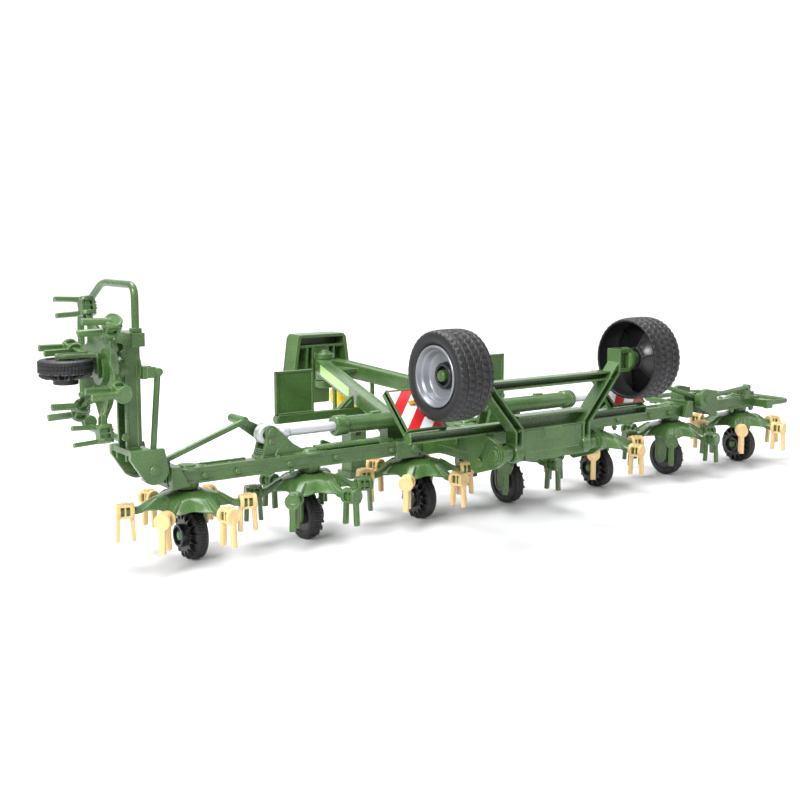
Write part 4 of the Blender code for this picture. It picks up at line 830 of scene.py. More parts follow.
def chassis_parts():
    y, front = CHASSIS.y, CHASSIS.y + 4
    top_z = TRANSPORT.z - 2
    parts = []
    for sign in (-1, 1):
        line = [(sign * ARM_X, front, CHASSIS.z + 1), (sign * ARM_X, front, ARM_BEND_Z + 1),
                (sign * (BLOCK_X - 1), front, top_z)]
        parts.append(channel(line, 5.4, 8, 1.2, (0, 1, 0)))
        x = sign * ARM_X
        parts.append(turn([(2.3, -3), (4.6, -3), (5.3, -2.4), (5.3, 2.4), (4.6, 3), (2.3, 3)], "X",
                          (x, y, CHASSIS.z)))
        for side in (-1, 1):
            low, high = sorted((x + side * 3, x + side * 4))
            parts.append(hex_nut((0, y, CHASSIS.z), 3.1, low, high))
        # the axle block is a box with a hollow face, then a stepped boss into the wheel
        low, high = sorted((sign * (BLOCK_X - 3.6), sign * (BLOCK_X + 4.8)))
        hollow = block((low + 1.4, y - 7, TRANSPORT.z - 4.4), (high - 1.4, y - 1, TRANSPORT.z + 4.2))
        parts.append(carved(block((low, y - 5, TRANSPORT.z - 6.2), (high, y + 4.6, TRANSPORT.z + 6.2)),
                            [hollow]))
        boss = [(0.001, 4), (6.2, 4), (6.6, 4.6), (6.6, 7.2), (6.1, 7.8), (4.6, 8.2), (4.2, 12.6),
                (3.2, 13.2), (2.9, 21.4), (0.001, 21.4)]
        parts.append(turn(boss, "X" if sign > 0 else "-X", (sign * BLOCK_X, y, TRANSPORT.z)))
        cap = [(0.001, 20.4), (2.9, 20.4), (2.9, 21.4), (2.4, 22.1), (1.4, 22.5), (0.001, 22.6)]
        parts.append(turn(cap, "X" if sign > 0 else "-X", (sign * BLOCK_X, y, TRANSPORT.z)))
        low, high = sorted((sign * (BLOCK_X - 4.4), sign * (BLOCK_X - 2.4)))
        parts.append(hex_nut((sign * (BLOCK_X - 3.6), y, TRANSPORT.z - 9.6), 1.8, low, high))
    low_bar, high_bar = ARM_BEND_Z + 4, TRANSPORT.z - 7.8
    parts.append(channel([(-ARM_X, front, low_bar), (ARM_X, front, low_bar)], 8.2, 7.2, 1.2, (0, 1, 0)))
    slope = (BLOCK_X - 1 - ARM_X) / (top_z - ARM_BEND_Z - 1)
    reach = ARM_X + slope * (high_bar - ARM_BEND_Z - 1)
    parts.append(channel([(-reach, front, high_bar), (reach, front, high_bar)], 4.8, 6.6, 1.1, (0, 1, 0)))
    # cover panel, its rounded tab and the paler strip along its foot
    back = y - 3.2
    parts.append(block((-ARM_X + 3, back, CHASSIS.z - 1), (ARM_X - 3, back + 1.6, low_bar - 3.4)))
    tab = [(-6.5, low_bar - 3.6), (-6.5, low_bar - 7)] + arc((0, low_bar - 6.4), 6.2, 190, 350, 14)
    tab += [(6.5, low_bar - 7), (6.5, low_bar - 3.6)]
    tab = [(x, z if z > low_bar - 9.5 else low_bar - 9.5) for x, z in tab]
    parts.append(plate(tab, "Y", back - 0.9, back + 0.4))
    strip = [(back - 2.6, CHASSIS.z - 4.2), (back + 1.6, CHASSIS.z - 4.2), (back + 1.6, CHASSIS.z),
             (back + 0.2, CHASSIS.z), (back - 2.6, CHASSIS.z - 3.0)]
    parts.append(plate(strip, "X", -ARM_X + 3.4, ARM_X - 3.4))
    return [(shape, GREEN) for shape in parts]


piece("transport_yoke", "transport_chassis", chassis_parts(), ["transport_chassis"],
      bevel=0.22)
print("yoke from", CHASSIS.z, "to", TRANSPORT.z, "mm")

# %% [markdown]
# The pivot plates stand on the centre frame beside the yoke. Each is a flat casting with a
# slanted slot for the stop pin and a rounded boss at the yoke's pivot.

# %% Pivot plates
PLATE_X = 35.0
PLATE_OUTLINE = [(-44, 54.7), (-61, 56.1), (-67, 54.2), (-76, 50.2), (-77, 47.5), (-75.5, 44.2),
                 (-69.4, 39.8), (-54, 34.9), (-50, 36.5)]


def pivot_plate_parts(sign):
    slot_low, slot_high = Vector((-57.0, 42.2)), Vector((-63.2, 52.4))
    along = (slot_high - slot_low).normalized()
    angle = math.degrees(math.atan2(along.y, along.x))
    slot = arc(slot_high, 1.5, angle - 90, angle + 90, 8) + arc(slot_low, 1.5, angle + 90, angle + 270, 8)
    inner, outer = PLATE_X - 1.5, PLATE_X + 1.5
    sheet = plate(PLATE_OUTLINE, "X", inner, outer)
    body = carved(sheet, [plate(slot, "X", outer - 1.1, outer + 1)])
    parts = [body, disc(2.3, outer - 0.4, outer + 1.0, "X", (0, -56.6, 41.0)),
             disc(4.6, outer - 0.4, outer + 1.5, "X", (0, CHASSIS.y, CHASSIS.z)),
             hex_nut((0, CHASSIS.y, CHASSIS.z), 3.0, outer + 1, outer + 2.4),
             disc(4.0, ARM_X + 4.2, inner + 0.2, "X", (0, CHASSIS.y, CHASSIS.z)),
             disc(2.0, ARM_X - 4.5, inner, "X", (0, CHASSIS.y, CHASSIS.z))]
    return [(mirrored(shape, sign), GREEN) for shape in parts]


for side, sign in SIDES.items():
    piece(f"pivot_casting_{side}", "centre", pivot_plate_parts(sign),
          [f"pivot_plate_{side}"], bevel=0.25)

# %% [markdown]
# ## Warning boards
# The rear boards lie back at 45 degrees on their cross-bar: a thin panel with the striped film
# on its rear face, a small amber reflector and a moulded rim that shows as a green edge. The
# bar is a channel too. The front boards stand upright on arms that come off the drawbar; from
# behind they show a plain green back in a raised frame, and the stripes face forwards.

# %% Striped faces
BOARD = 25.5


def printed_face(corners):
    """A thin sheet over four corners, with its own flat coordinates in millimetres for the stripes."""
    corners = [Vector(corner) for corner in corners]
    normal = (corners[1] - corners[0]).cross(corners[3] - corners[0]).normalized() * 0.25
    shape = skin([corners, [corner + normal for corner in corners]], caps=True)
    layer = shape.loops.layers.uv.new("UVMap")
    across, rise = (corners[1] - corners[0]).normalized(), (corners[3] - corners[0]).normalized()
    for face in shape.faces:
        for loop in face.loops:
            offset = loop.vert.co - corners[0]
            loop[layer].uv = (offset.dot(across), offset.dot(rise))
    return shape


def rear_board_parts(sign):
    low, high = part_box(f"rear_board_{'right' if sign > 0 else 'left'}")
    low, high = (low - ORIGIN) / MM, (high - ORIGIN) / MM
    foot = Vector((0, low.y + 0.7, low.z + 0.7))
    slope = Vector((0, 1, 1)).normalized()
    back = Vector((0, -1, 1)).normalized()
    parts = []

    def slab(x0, x1, s0, s1, d0, d1):
        outline = [foot + slope * s + back * d for s, d in ((s0, d0), (s1, d0), (s1, d1), (s0, d1))]
        return plate([(point.y, point.z) for point in outline], "X", x0, x1)

    parts.append((slab(low.x, high.x, 0, BOARD, -1.0, 0.5), GREEN))
    for x0, x1, s0, s1 in ((low.x, low.x + 0.8, 0, BOARD), (high.x - 0.8, high.x, 0, BOARD),
                           (low.x + 0.8, high.x - 0.8, 0, 0.8),
                           (low.x + 0.8, high.x - 0.8, BOARD - 0.8, BOARD)):
        parts.append((slab(x0, x1, s0, s1, 0.4, 1.1), GREEN))
    for x0, x1 in ((low.x, low.x + 1.1), (high.x - 1.1, high.x)):
        parts.append((slab(x0, x1, -0.2, BOARD + 0.2, -3.4, 1.3), GREEN))
    face = [foot + slope * s + back * 0.55 + Vector((x, 0, 0))
            for x, s in ((low.x + 0.8, 0.8), (high.x - 0.8, 0.8), (high.x - 0.8, BOARD - 0.8),
                         (low.x + 0.8, BOARD - 0.8))]
    parts.append((printed_face(face), STRIPES))
    middle = (low.x + high.x) / 2 + sign * 0.5
    lamp = slab(middle - 1.9, middle + 1.9, BOARD * 0.60, BOARD * 0.60 + 2.2, 0.6, 1.5)
    rim = slab(middle - 2.3, middle + 2.3, BOARD * 0.60 - 0.4, BOARD * 0.60 + 2.6, 0.6, 1.15)
    parts += [(lamp, AMBER), (rim, GREEN)]
    return parts


for side, sign in SIDES.items():
    piece(f"rear_warning_board_{side}", "centre", rear_board_parts(sign),
          [f"rear_board_{side}"], bevel=0.15)

bar_low, bar_high = [(corner - ORIGIN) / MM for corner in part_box("rear_board_bar")]
bar_mid = (bar_low.z + bar_high.z) / 2
bar_line = [(bar_low.x, bar_high.y, bar_mid), (bar_high.x, bar_high.y, bar_mid)]
rear_bar = [(channel(bar_line, 5.0, 5.2, 1.0, (0, 1, 0)), GREEN)]
for sign in (-1, 1):
    low, high = sorted((sign * (bar_high.x - 0.6), sign * (bar_high.x + 0.4)))
    rear_bar.append((disc(2.9, low, high, "X", (0, bar_high.y - 2.6, bar_mid), 32), GREEN))
    x = sign * 33
    foot = block((x - 2.5, bar_high.y - 5, bar_low.z - 4), (x + 2.5, bar_high.y, bar_low.z + 1))
    rear_bar.append((foot, GREEN))
piece("rear_bar", "centre", rear_bar, ["rear_board_bar"], bevel=0.25)


# %% Front boards
def front_board_parts(sign):
    low, high = [(corner - ORIGIN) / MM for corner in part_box("front_board_right")]
    bar_top = low.z + 4.8
    y = (low.y + high.y) / 2
    x1 = high.x
    x0 = x1 - BOARD
    parts = [block((low.x, y - 2, low.z), (x1 - 1, y + 2, bar_top))]
    parts.append(disc(2.7, x1 - 1.6, x1 + 0.2, "X", (0, y, low.z + 2.4)))
    parts.append(block((x0, y - 0.6, bar_top - 0.2), (x1, y + 1.0, high.z)))
    for a, b, c, d in ((x0, x0 + 1.0, bar_top, high.z), (x1 - 1.6, x1, bar_top, high.z),
                       (x0, x1, bar_top, bar_top + 1), (x0, x1, high.z - 1, high.z)):
        parts.append(block((a, y - 1.4, c), (b, y, d)))
    gusset = [(low.x + 9, bar_top - 0.5), (low.x + 9.6, bar_top + 7.5), (low.x + 12, bar_top + 7.0),
              (low.x + 21, bar_top - 0.5)]
    parts.append(plate(gusset, "Y", y - 1.5, y + 1.5))
    inner = [(low.x + 11, bar_top + 1), (low.x + 11.3, bar_top + 5), (low.x + 16, bar_top + 1)]
    parts.append(plate(inner, "Y", y - 2.1, y - 1.4))
    face = printed_face([(x1 - 1, y + 1.0, bar_top + 1), (x0 + 1, y + 1.0, bar_top + 1),
                         (x0 + 1, y + 1.0, high.z - 1), (x1 - 1, y + 1.0, high.z - 1)])
    made = [(mirrored(shape, sign), GREEN) for shape in parts]
    made.append((mirrored(face, sign), STRIPES))
    made.append((mirrored(block((x0 + 10, y + 1.2, bar_top + 14), (x0 + 14, y + 2, bar_top + 16.4)), sign),
                 AMBER))
    return made


for side, sign in SIDES.items():
    piece(f"front_warning_board_{side}", "centre", front_board_parts(sign),
          [f"front_board_{side}"], bevel=0.25)

# %% [markdown]
# ## Headstock
# The headstock is a hood on a column that swivels on the drawbar's tip: side walls that flare
# downwards, a sloping shelf inside, and a column with two cross holes under it. A pin with a
# washer holds it to the drawbar's tip.

# %% Headstock
def headstock_parts():
    low, high = [(corner - ORIGIN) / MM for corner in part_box("headstock")]
    y0, y1 = HITCH.y + 3, HITCH.y + 17.5
    top, foot = high.z, low.z + 20
    half_top, half_foot, wall = 18.6, 22.6, 2.0
    outer = [(-half_foot, foot), (-half_top - 0.6, top - 2.4), (-half_top + 1.4, top), (half_top - 1.4, top),
             (half_top + 0.6, top - 2.4), (half_foot, foot)]
    inner = [(half_foot - wall, foot), (half_top - wall, top - wall), (-half_top + wall, top - wall),
             (-half_foot + wall, foot)]
    parts = [plate(outer + inner, "Y", y0, y1 - 1), plate(outer, "Y", y1 - 2, y1)]
    wedge = [(y0 + 1.2, top - 8.6), (y1 - 1.5, top - 11.5), (y1 - 1.5, top - 7.2), (y0 + 1.2, top - 7.2)]
    parts.append(plate(wedge, "X", -half_top + 0.8, half_top - 0.8))
    column = [(-6.6, low.z + 1), (-6.6, top - 8), (6.6, top - 8), (6.6, low.z + 1), (5.8, low.z),
              (-5.8, low.z)]
    holes = [disc(1.1, -12, 12, "X", (0, (y0 + y1) / 2 + 1, low.z + drop), 24, 0.1) for drop in (5, 10)]
    parts.append(carved(plate(column, "Y", y0 + 2, y1 - 1.2), holes))
    for x in (-10.5, 10.5):
        rib = [(y0 + 2.4, foot + 1), (y1 - 1.5, foot + 1), (y1 - 1.5, top - 8), (y0 + 1.6, top - 8)]
        parts.append(plate(rib, "X", x - 0.6, x + 0.6))
    swivel_low, swivel_high = low.z + 16, top - 16.5
    for z0, z1 in ((swivel_high + 0.2, swivel_high + 4), (swivel_low - 5, swivel_low - 0.2)):
        parts.append(block((-5, HITCH.y, z0), (5, y1 - 2, z1)))
        parts.append(disc(6.5, z0, z1, "Z", (0, HITCH.y, 0), 48, 0.4))
    parts.append(disc(3.0, swivel_low - 1, swivel_high + 1, "Z", (0, HITCH.y, 0)))
    parts.append(disc(4.2, swivel_high + 3.8, swivel_high + 5.0, "Z", (0, HITCH.y, 0), 48))
    parts.append(disc(2.6, swivel_high + 4.8, swivel_high + 6.0, "Z", (0, HITCH.y, 0)))
    return [(shape, GREEN) for shape in parts]


piece("headstock_hood", "headstock", headstock_parts(), ["headstock"], bevel=0.3)

# %% [markdown]
# ## Drive shaft
# A black square-ended shaft leaves the gearbox, and the hitch end wears a yellow guard: a cone
# with a rolled rim, a tube and a ball-shaped cover with a groove round it, as real drive
# shafts have to keep clothing away from the joint.

# %% Shaft and guard
shaft_low = (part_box("drive_shaft")[0] - ORIGIN) / MM
shaft_z = BEAM_Z - 3
bend = Vector((0, HITCH.y * 0.49, shaft_z))
front = Vector((0, HITCH.y - 21, BEAM_Z + 11))
along = (front - bend).normalized()
joint = bend.lerp(front, 0.35)
shaft = [(disc(3.0, shaft_low.y, bend.y + 1, "Y", (0, 0, shaft_z), 32), BLACK),
         (turn([(0.001, -4.5), (4.6, -4.5), (5.2, -3.8), (5.0, -2.6), (5.6, 4), (6.3, 4.8), (6.3, 5.4),
                (0.001, 5.4)], along, bend), BLACK),
         (turn([(0.001, 0), (3, 0), (3, (joint - bend).length - 0.2), (0.001, (joint - bend).length - 0.2)],
               along, bend), BLACK)]
for step in range(4):
    shaft.append((disc(3.6, shaft_low.y + 3 + 5 * step, shaft_low.y + 5 + 5 * step, "Y", (0, 0, shaft_z),
                       32), BLACK))
piece("shaft", "centre", shaft, ["drive_shaft"], bevel=0.15)
length = (front - joint).length
cone = [(0.001, 0.2), (6.0, 0.2), (6.7, 0.6), (6.7, 1.3), (6.1, 1.7), (4.6, 6.5), (4.2, 8.0), (3.0, 8.4),
        (3.0, length), (0.001, length)]


def ball_side(start, stop):
    """Points on the ball's outline between two angles, a little flatter along the shaft."""
    turns = [math.radians(degrees) for degrees in range(start, stop, 8)]
    return [(8.5 * math.cos(turned), 7.7 * math.sin(turned)) for turned in turns]


ball = [(0.001, -7.6), (3.4, -7.4)] + ball_side(-60, -8)
ball += [(8.45, -1.0), (7.7, -0.7), (7.7, 0.7), (8.45, 1.0)]
ball += ball_side(12, 61) + [(3.4, 7.4), (3.2, 6.2), (0.001, 6.2)]
guard = [(turn(cone, along, joint), YELLOW), (turn(ball, along, front), YELLOW)]
piece("shaft_guard", "centre", guard, ["drive_shaft_guard"], bevel=0.12)
print("guard", round(length, 1), "mm long")

# %% [markdown]
# ## Lift cylinders and rods
# Each wing is lifted by a cylinder: a green tube with a heavier collar, and a silver rod with a
# ring half-way and a broad eye that sits between two ears on the wing. From the eye a lever
# plate rises, and a thin push rod runs on from its tip to the outer hinge.

# %% Cylinders
EYE = Vector((((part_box("lift_rod_right")[1] - ORIGIN) / MM).x - 5, CYLINDER.y, CYLINDER.z))
TUBE_END = CYLINDER.x + 65
PUSH_Y = ((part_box("push_rod_right")[0] - ORIGIN) / MM).y + 1.5
FOLD_Y = ((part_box("folding_rod_right")[0] - ORIGIN) / MM).y + 2.4


def tube_parts(sign):
    x0, y, z = CYLINDER.x, CYLINDER.y, CYLINDER.z
    end = TUBE_END
    barrel = [(2.9, 5), (4.2, 5), (4.7, 5.8), (4.7, 57), (5.3, 57.6), (5.6, 58.2), (5.6, 64.4), (5.2, 65.2),
              (2.9, 65.2)]
    foot = [(1.9, -3), (3.6, -3), (4.1, -2.5), (4.1, 2.5), (3.6, 3), (1.9, 3)]
    parts = [turn(barrel, "X", (x0, y, z)), turn(foot, "Y", (x0, y, z)),
             block((x0 + 2.4, y - 2.6, z - 2.8), (x0 + 8, y + 2.6, z + 2.8)),
             block((end - 30, y - 1.4, z + 3.6), (end - 24, y + 1.4, z + 5.6))]
    return [(mirrored(shape, sign), GREEN) for shape in parts]


def rod_parts(sign):
    x0, y, z = TUBE_END - 8, CYLINDER.y, CYLINDER.z
    eye = EYE.x
    reach = EYE.x - x0 - 4
    shank = [(0.001, 0), (2.6, 0), (2.6, 36.5), (3.3, 37.0), (3.8, 37.6), (3.8, 40.6), (3.3, 41.2),
             (2.7, 41.6), (2.7, reach),
             (0.001, reach)]
    ring = [(2.6, -3), (4.6, -3), (5.1, -2.4), (5.1, -1.5), (4.6, -1.1), (4.6, 1.1), (5.1, 1.5), (5.1, 2.4),
            (4.6, 3), (2.6, 3)]
    parts = [turn(shank, "X", (x0, y, z)), turn(ring, "Y", (eye, y, z)),
             block((eye - 7.5, y - 2.4, z - 2.9), (eye - 3.6, y + 2.4, z + 2.9))]
    return [(mirrored(shape, sign), ROD_SILVER) for shape in parts]


def push_rod_parts(sign):
    tip = EYE + Vector((15, 0, 9))
    parts = []
    outline = arc((EYE.x, EYE.z), 3.6, 121, 301, 12) + arc((tip.x, tip.z), 2.0, -59, 121, 10)
    parts.append(plate(outline, "Y", EYE.y + 5.6, EYE.y + 7.2))
    parts.append(disc(2.3, tip.y - 7.2, tip.y + 7.6, "Y", (tip.x, 0, tip.z)))
    parts.append(disc(1.6, EYE.y - 5.8, EYE.y + 6.8, "Y", (EYE.x, 0, EYE.z)))
    end = Vector((OUTER_HINGE.x - 3, PUSH_Y, OUTER_HINGE.z + 1))
    parts.append(pipe([tip - Vector((0, 6.2, 0)), end], 1.5, 20))
    eye = [(1.9, -1.1), (3.6, -1.1), (3.6, 1.1), (1.9, 1.1)]
    parts.append(turn(eye, "Y", (OUTER_HINGE.x, PUSH_Y, OUTER_HINGE.z)))
    return [(mirrored(shape, sign), GREEN) for shape in parts]


for side, sign in SIDES.items():
    piece(f"cylinder_tube_{side}", f"lift_tube_{side}", tube_parts(sign),
          [f"lift_tube_{side}"], bevel=0.2)
    piece(f"cylinder_rod_{side}", f"lift_rod_{side}", rod_parts(sign), [f"lift_rod_{side}"],
          bevel=0.2)
    piece(f"lever_rod_{side}", f"wing_{side}", push_rod_parts(sign), [f"push_rod_{side}"],
          bevel=0.2)

# %% [markdown]
# ## Wings
# A wing beam is an open channel: hollow underneath, with a flat top, a low ridge along its rear
# edge and ledges where the rotor gearboxes bolt on. Inboard lies a moulded return spring. The
# lift bracket is a pair of triangular ears with the rod's silver eye standing out between them.

# %% Beams, flanges and springs
def beam_channel(x0, x1, drop=1.9):
    """A beam hollow from below, with a web on top and a lip along each lower edge."""
    w, wall, lip = 5.0, 1.2, 0.6
    low, high = drop - 4.5, 4.5
    section = [(-w, low), (-w - lip, low), (-w - lip, low + 1.2), (-w, low + 1.6),
               (-w, high - 0.6), (-w + 0.6, high), (w - 0.6, high), (w, high - 0.6),
               (w, low + 1.6), (w + lip, low + 1.2), (w + lip, low), (w, low),
               (w - wall, low), (w - wall, high - wall), (-w + wall, high - wall), (-w + wall, low)]
    return sweep([(x0, 0, BEAM_Z), (x1, 0, BEAM_Z)], section)


def bolt(x, y, z, radius=1.3, rise=1.1):
    """A moulded bolt head: a washer with a hexagon on it."""
    sides = [(x + radius * 0.8 * math.cos(k * math.pi / 3), y + radius * 0.8 * math.sin(k * math.pi / 3))
             for k in range(6)]
    return [disc(radius, z - 0.2, z + 0.35, centre=(x, y, 0), sides=20, edge=0.12),
            plate(sides, "Z", z + 0.3, z + rise)]


def gearbox_flange(x):
    """The round flange over a rotor, its cover plate and the two bolts beside it."""
    top = BEAM_TOP
    parts = [turn([(0.001, top - 0.4), (7.2, top - 0.4), (7.2, top + 0.5), (6.6, top + 0.9), (4.6, top + 1.0),
                   (4.2, top + 1.9), (2.6, top + 2.3), (0.001, top + 2.4)], centre=(x, 0, 0)),
             block((x - 9.5, -3.2, top - 0.3), (x + 9.5, 3.2, top + 0.7)),
             turn([(0.001, BEAM_BOTTOM - 1), (5.2, BEAM_BOTTOM - 1), (6.0, BEAM_BOTTOM + 0.6),
                   (6.0, BEAM_BOTTOM + 3.4), (0.001, BEAM_BOTTOM + 3.4)], centre=(x, 0, 0))]
    for dx in (-8.2, 8.2):
        parts += bolt(x + dx, 0, top + 0.7)
    return parts


def side_boss(x, z, sign_y, radius=1.5, reach=1.6):
    """A round pin end on the side of a beam."""
    low, high = sorted((sign_y * 4.8, sign_y * (5 + reach)))
    return disc(radius, low, high, "Y", (x, 0, z), 20, 0.35)


def ripple_spring(x0, x1, y, z, radius, pitch=1.5):
    """A moulded coil spring: a rod whose radius rises and falls with each turn."""
    rings = [(0.001, 0)]
    length = x1 - x0
    for step in range(int(length / pitch * 4) + 1):
        rings.append((radius - 0.45 * (0.5 - 0.5 * math.cos(step * math.pi / 2)), step * pitch / 4))
    rings.append((0.001, rings[-1][1]))
    return turn(rings, "X", (x0, y, z), 20)


def lift_bracket():
    """Two ears either side of the cylinder's eye, a ribbed block under it and a base plate."""
    foot = BEAM_TOP - 0.8
    edge = [(EYE.x - 25, foot), (EYE.x + 4.6, foot), (EYE.x + 3.0, foot + 5), (EYE.x + 1.8, EYE.z - 3)]
    outline = edge + arc((EYE.x - 1.2, EYE.z + 1.6), 3.4, -20, 135, 10) + [(EYE.x - 14, foot + 6.6)]
    parts = []
    for low, high in ((EYE.y + 3.3, EYE.y + 5.3), (EYE.y - 5.3, EYE.y - 3.3)):
        parts.append(plate(outline, "Y", low, high))
    near = EYE.y - 5.3
    parts.append(disc(2.0, near - 0.9, near + 0.4, "Y", (EYE.x - 1.2, 0, EYE.z + 1.4), 28, 0.4))
    parts.append(disc(1.5, near - 0.6, near + 0.4, "Y", (EYE.x - 1.4, 0, EYE.z - 3.4), 28, 0.3))
    mark = [(EYE.x - 6.5, foot + 1.5), (EYE.x - 2.8, foot + 1.5), (EYE.x - 4.6, foot + 4.6)]
    parts.append(plate(mark, "Y", near - 0.5, near + 0.2))
    parts.append(block((EYE.x - 22, EYE.y - 5.4, foot - 1), (EYE.x + 5, EYE.y + 5.4, BEAM_TOP + 0.7)))
    for step in range(4):
        z = foot + 1.2 + step * 1.1
        parts.append(block((EYE.x - 3.2, EYE.y - 3.4, z), (EYE.x + 3.6, EYE.y + 3.4, z + 0.7)))
    return parts


def wing_parts(sign):
    start, end = WING_HINGE_X + 5.5, OUTER_HINGE.x - 10
    parts = [beam_channel(start, end)]
    parts += gearbox_flange(1.5 * SPACING) + gearbox_flange(2.5 * SPACING)
    # ears round the centre frame's hinge pin
    for low, high in ((-6.6, -3.5), (3.5, 6.6)):
        foot = [(start + 6, BEAM_BOTTOM), (start + 6, BEAM_TOP)]
        outline = arc((WING_HINGE_X, BEAM_Z), 4.5, 90, 270, 14) + foot
        parts.append(plate(outline, "Y", low, high))
    parts.append(disc(2.2, -7.7, -6.3, "Y", (WING_HINGE_X, 0, BEAM_Z), 28))
    # ridge, ledges and small pins along the beam
    parts.append(block((start + 4, -5.4, BEAM_TOP - 1.4), (end - 4, -4.1, BEAM_TOP + 0.7)))
    parts.append(block((start + 2, 3.2, BEAM_TOP - 0.4), (EYE.x - 24, 5.2, BEAM_TOP + 1.1)))
    parts.append(block((EYE.x + 12, 2.6, BEAM_TOP - 0.4), (end - 12, 4.6, BEAM_TOP + 0.9)))
    for x in (56, 92, 120, 150, 168):
        parts.append(side_boss(x, BEAM_Z + 0.8, -1))
    for x, y in ((62, -1.5), (126, -4.0), (150, 1.2)):
        parts += bolt(x, y, BEAM_TOP, 1.5, 1.4)
    parts.append(disc(1.2, BEAM_BOTTOM - 1.2, BEAM_BOTTOM + 3.4, centre=(118, -4.6, 0), sides=20))
    parts.append(disc(1.9, BEAM_BOTTOM + 0.2, BEAM_BOTTOM + 1.2, centre=(118, -4.6, 0), sides=20))
    parts.append(ripple_spring(62, 103, -1.8, BEAM_TOP + 2.0, 2.0))
    parts.append(pipe(rounded([(102, -1.8, BEAM_TOP + 2), (107, -1.8, BEAM_TOP + 2),
                               (110, -1.8, BEAM_TOP + 0.2)], 2), 0.8))
    parts.append(block((57, -4.2, BEAM_TOP - 0.3), (62.4, 0.8, BEAM_TOP + 3.6)))
    hook = [(84, BEAM_TOP + 0.6), (95, BEAM_TOP + 0.6), (95, BEAM_TOP + 4.4), (93.6, BEAM_TOP + 4.8)]
    parts.append(plate(hook, "Y", 3.4, 5.0))
    parts += lift_bracket()
    # cross-head and tongue of the outer hinge
    z = OUTER_HINGE.z
    parts.append(block((end - 5, -9, BEAM_BOTTOM + 1), (end, 9, z - 0.5)))
    for y in (-9.4, 7.0):
        cheek = [(end - 9, BEAM_BOTTOM + 2), (end - 0.2, BEAM_BOTTOM + 1), (end - 0.2, z - 1),
                 (end - 4, z - 0.6)]
        parts.append(plate(cheek, "Y", y, y + 2.4))
    tongue = [(end - 2, BEAM_BOTTOM + 2), (end - 2, z + 3.5)] + arc((OUTER_HINGE.x, z), 3.5, 90, -90, 14)
    parts.append(plate(tongue, "Y", -3.2, 3.2))
    parts.append(disc(1.6, -14, 14, "Y", (OUTER_HINGE.x, 0, z), 24))
    return [(mirrored(shape, sign), GREEN) for shape in parts]


for side, sign in SIDES.items():
    piece(f"wing_moulding_{side}", f"wing_{side}", wing_parts(sign), [f"wing_beam_{side}"],
          bevel=0.22)

# %% [markdown]
# ## Outer sections
# The last section of each side folds up on a broad hinge: two cupped ears that turn on the
# wing's pin. Its beam is the same open channel. A guard rail of bent tube runs round it to a
# spool at its inner end, and a thin rod lies along it from the hinge to a bracket on top.

# %% Outer section
def outer_parts(sign):
    x0, x1 = OUTER_HINGE.x + 7, OUTER_ROTOR_X + 17
    z = OUTER_HINGE.z
    parts = [beam_channel(x0, x1)]
    parts += gearbox_flange(OUTER_ROTOR_X)
    for y_side in (-1, 1):
        # a cup: an ear on the hinge pin with a curved wall on its inner side
        low, high = sorted((y_side * 10.2, y_side * 12.8))
        ear = arc((OUTER_HINGE.x, z), 7, 90, 225, 16)
        ear += [(x0 - 1, BEAM_BOTTOM + 0.5), (x0 + 3, BEAM_BOTTOM + 0.5), (x0 + 3, z + 5)]
        parts.append(plate(ear, "Y", low, high))
        low, high = sorted((y_side * 7.6, y_side * 12.5))
        outer = arc((OUTER_HINGE.x, z), 6.9, 160, 228, 10)
        inner = arc((OUTER_HINGE.x, z), 5.7, 228, 160, 10)
        parts.append(plate(outer + inner, "Y", low, high))
        low, high = sorted((y_side * 12.6, y_side * 13.8))
        parts.append(disc(2.6, low, high, "Y", (OUTER_HINGE.x, 0, z), 28, 0.4))
    parts.append(block((x0 + 0.5, -12.4, BEAM_BOTTOM + 1), (x0 + 3.4, 12.4, BEAM_TOP + 2)))
    for y in (-6.0, 4.8):
        parts.append(block((x0 - 2.6, y, BEAM_BOTTOM + 1.2), (x0 + 0.7, y + 1.2, BEAM_BOTTOM + 2.8)))
    # pin ends, ledges and the end cross-piece with its pin
    for x in (x0 + 9, x0 + 27, x1 - 10):
        parts.append(side_boss(x, BEAM_BOTTOM + 1.4, -1, 1.9, 1.8))
    parts.append(block((x0 + 4, -5.4, BEAM_TOP - 1.2), (x1 - 6, -4.0, BEAM_TOP + 0.6)))
    for x in (x0 + 12, x0 + 24, x1 - 22):
        parts += bolt(x, 1.4, BEAM_TOP, 1.5, 1.3)
    parts.append(block((x1 - 5.5, -16, BEAM_Z - 2.6), (x1, 6, BEAM_Z + 2.6)))
    parts.append(block((x1 - 6.0, -16.4, BEAM_Z - 3.0), (x1 + 0.3, -13.4, BEAM_Z + 3.0)))
    parts.append(disc(1.3, BEAM_Z + 2.4, BEAM_Z + 7.4, centre=(x1 - 2.8, -1, 0), sides=24))
    parts.append(disc(2.1, BEAM_Z + 2.4, BEAM_Z + 3.6, centre=(x1 - 2.8, -1, 0), sides=24))
    # bracket that holds the rod's far end
    rod_x = OUTER_ROTOR_X - 2
    parts.append(block((rod_x - 3, FOLD_Y - 1.4, BEAM_TOP), (rod_x + 3, 2, BEAM_TOP + 2.2)))
    for y in (FOLD_Y - 1.8, FOLD_Y + 2.9):
        parts.append(block((rod_x - 2.6, y, BEAM_TOP + 2), (rod_x + 2.6, y + 1.4, BEAM_TOP + 6)))
    parts.append(turn([(0.001, 0), (2.4, 0), (2.4, 3.6), (1.6, 4.4), (0.001, 4.4)],
                      centre=(rod_x, -0.6, BEAM_TOP + 2)))
    return [(mirrored(shape, sign), GREEN) for shape in parts]


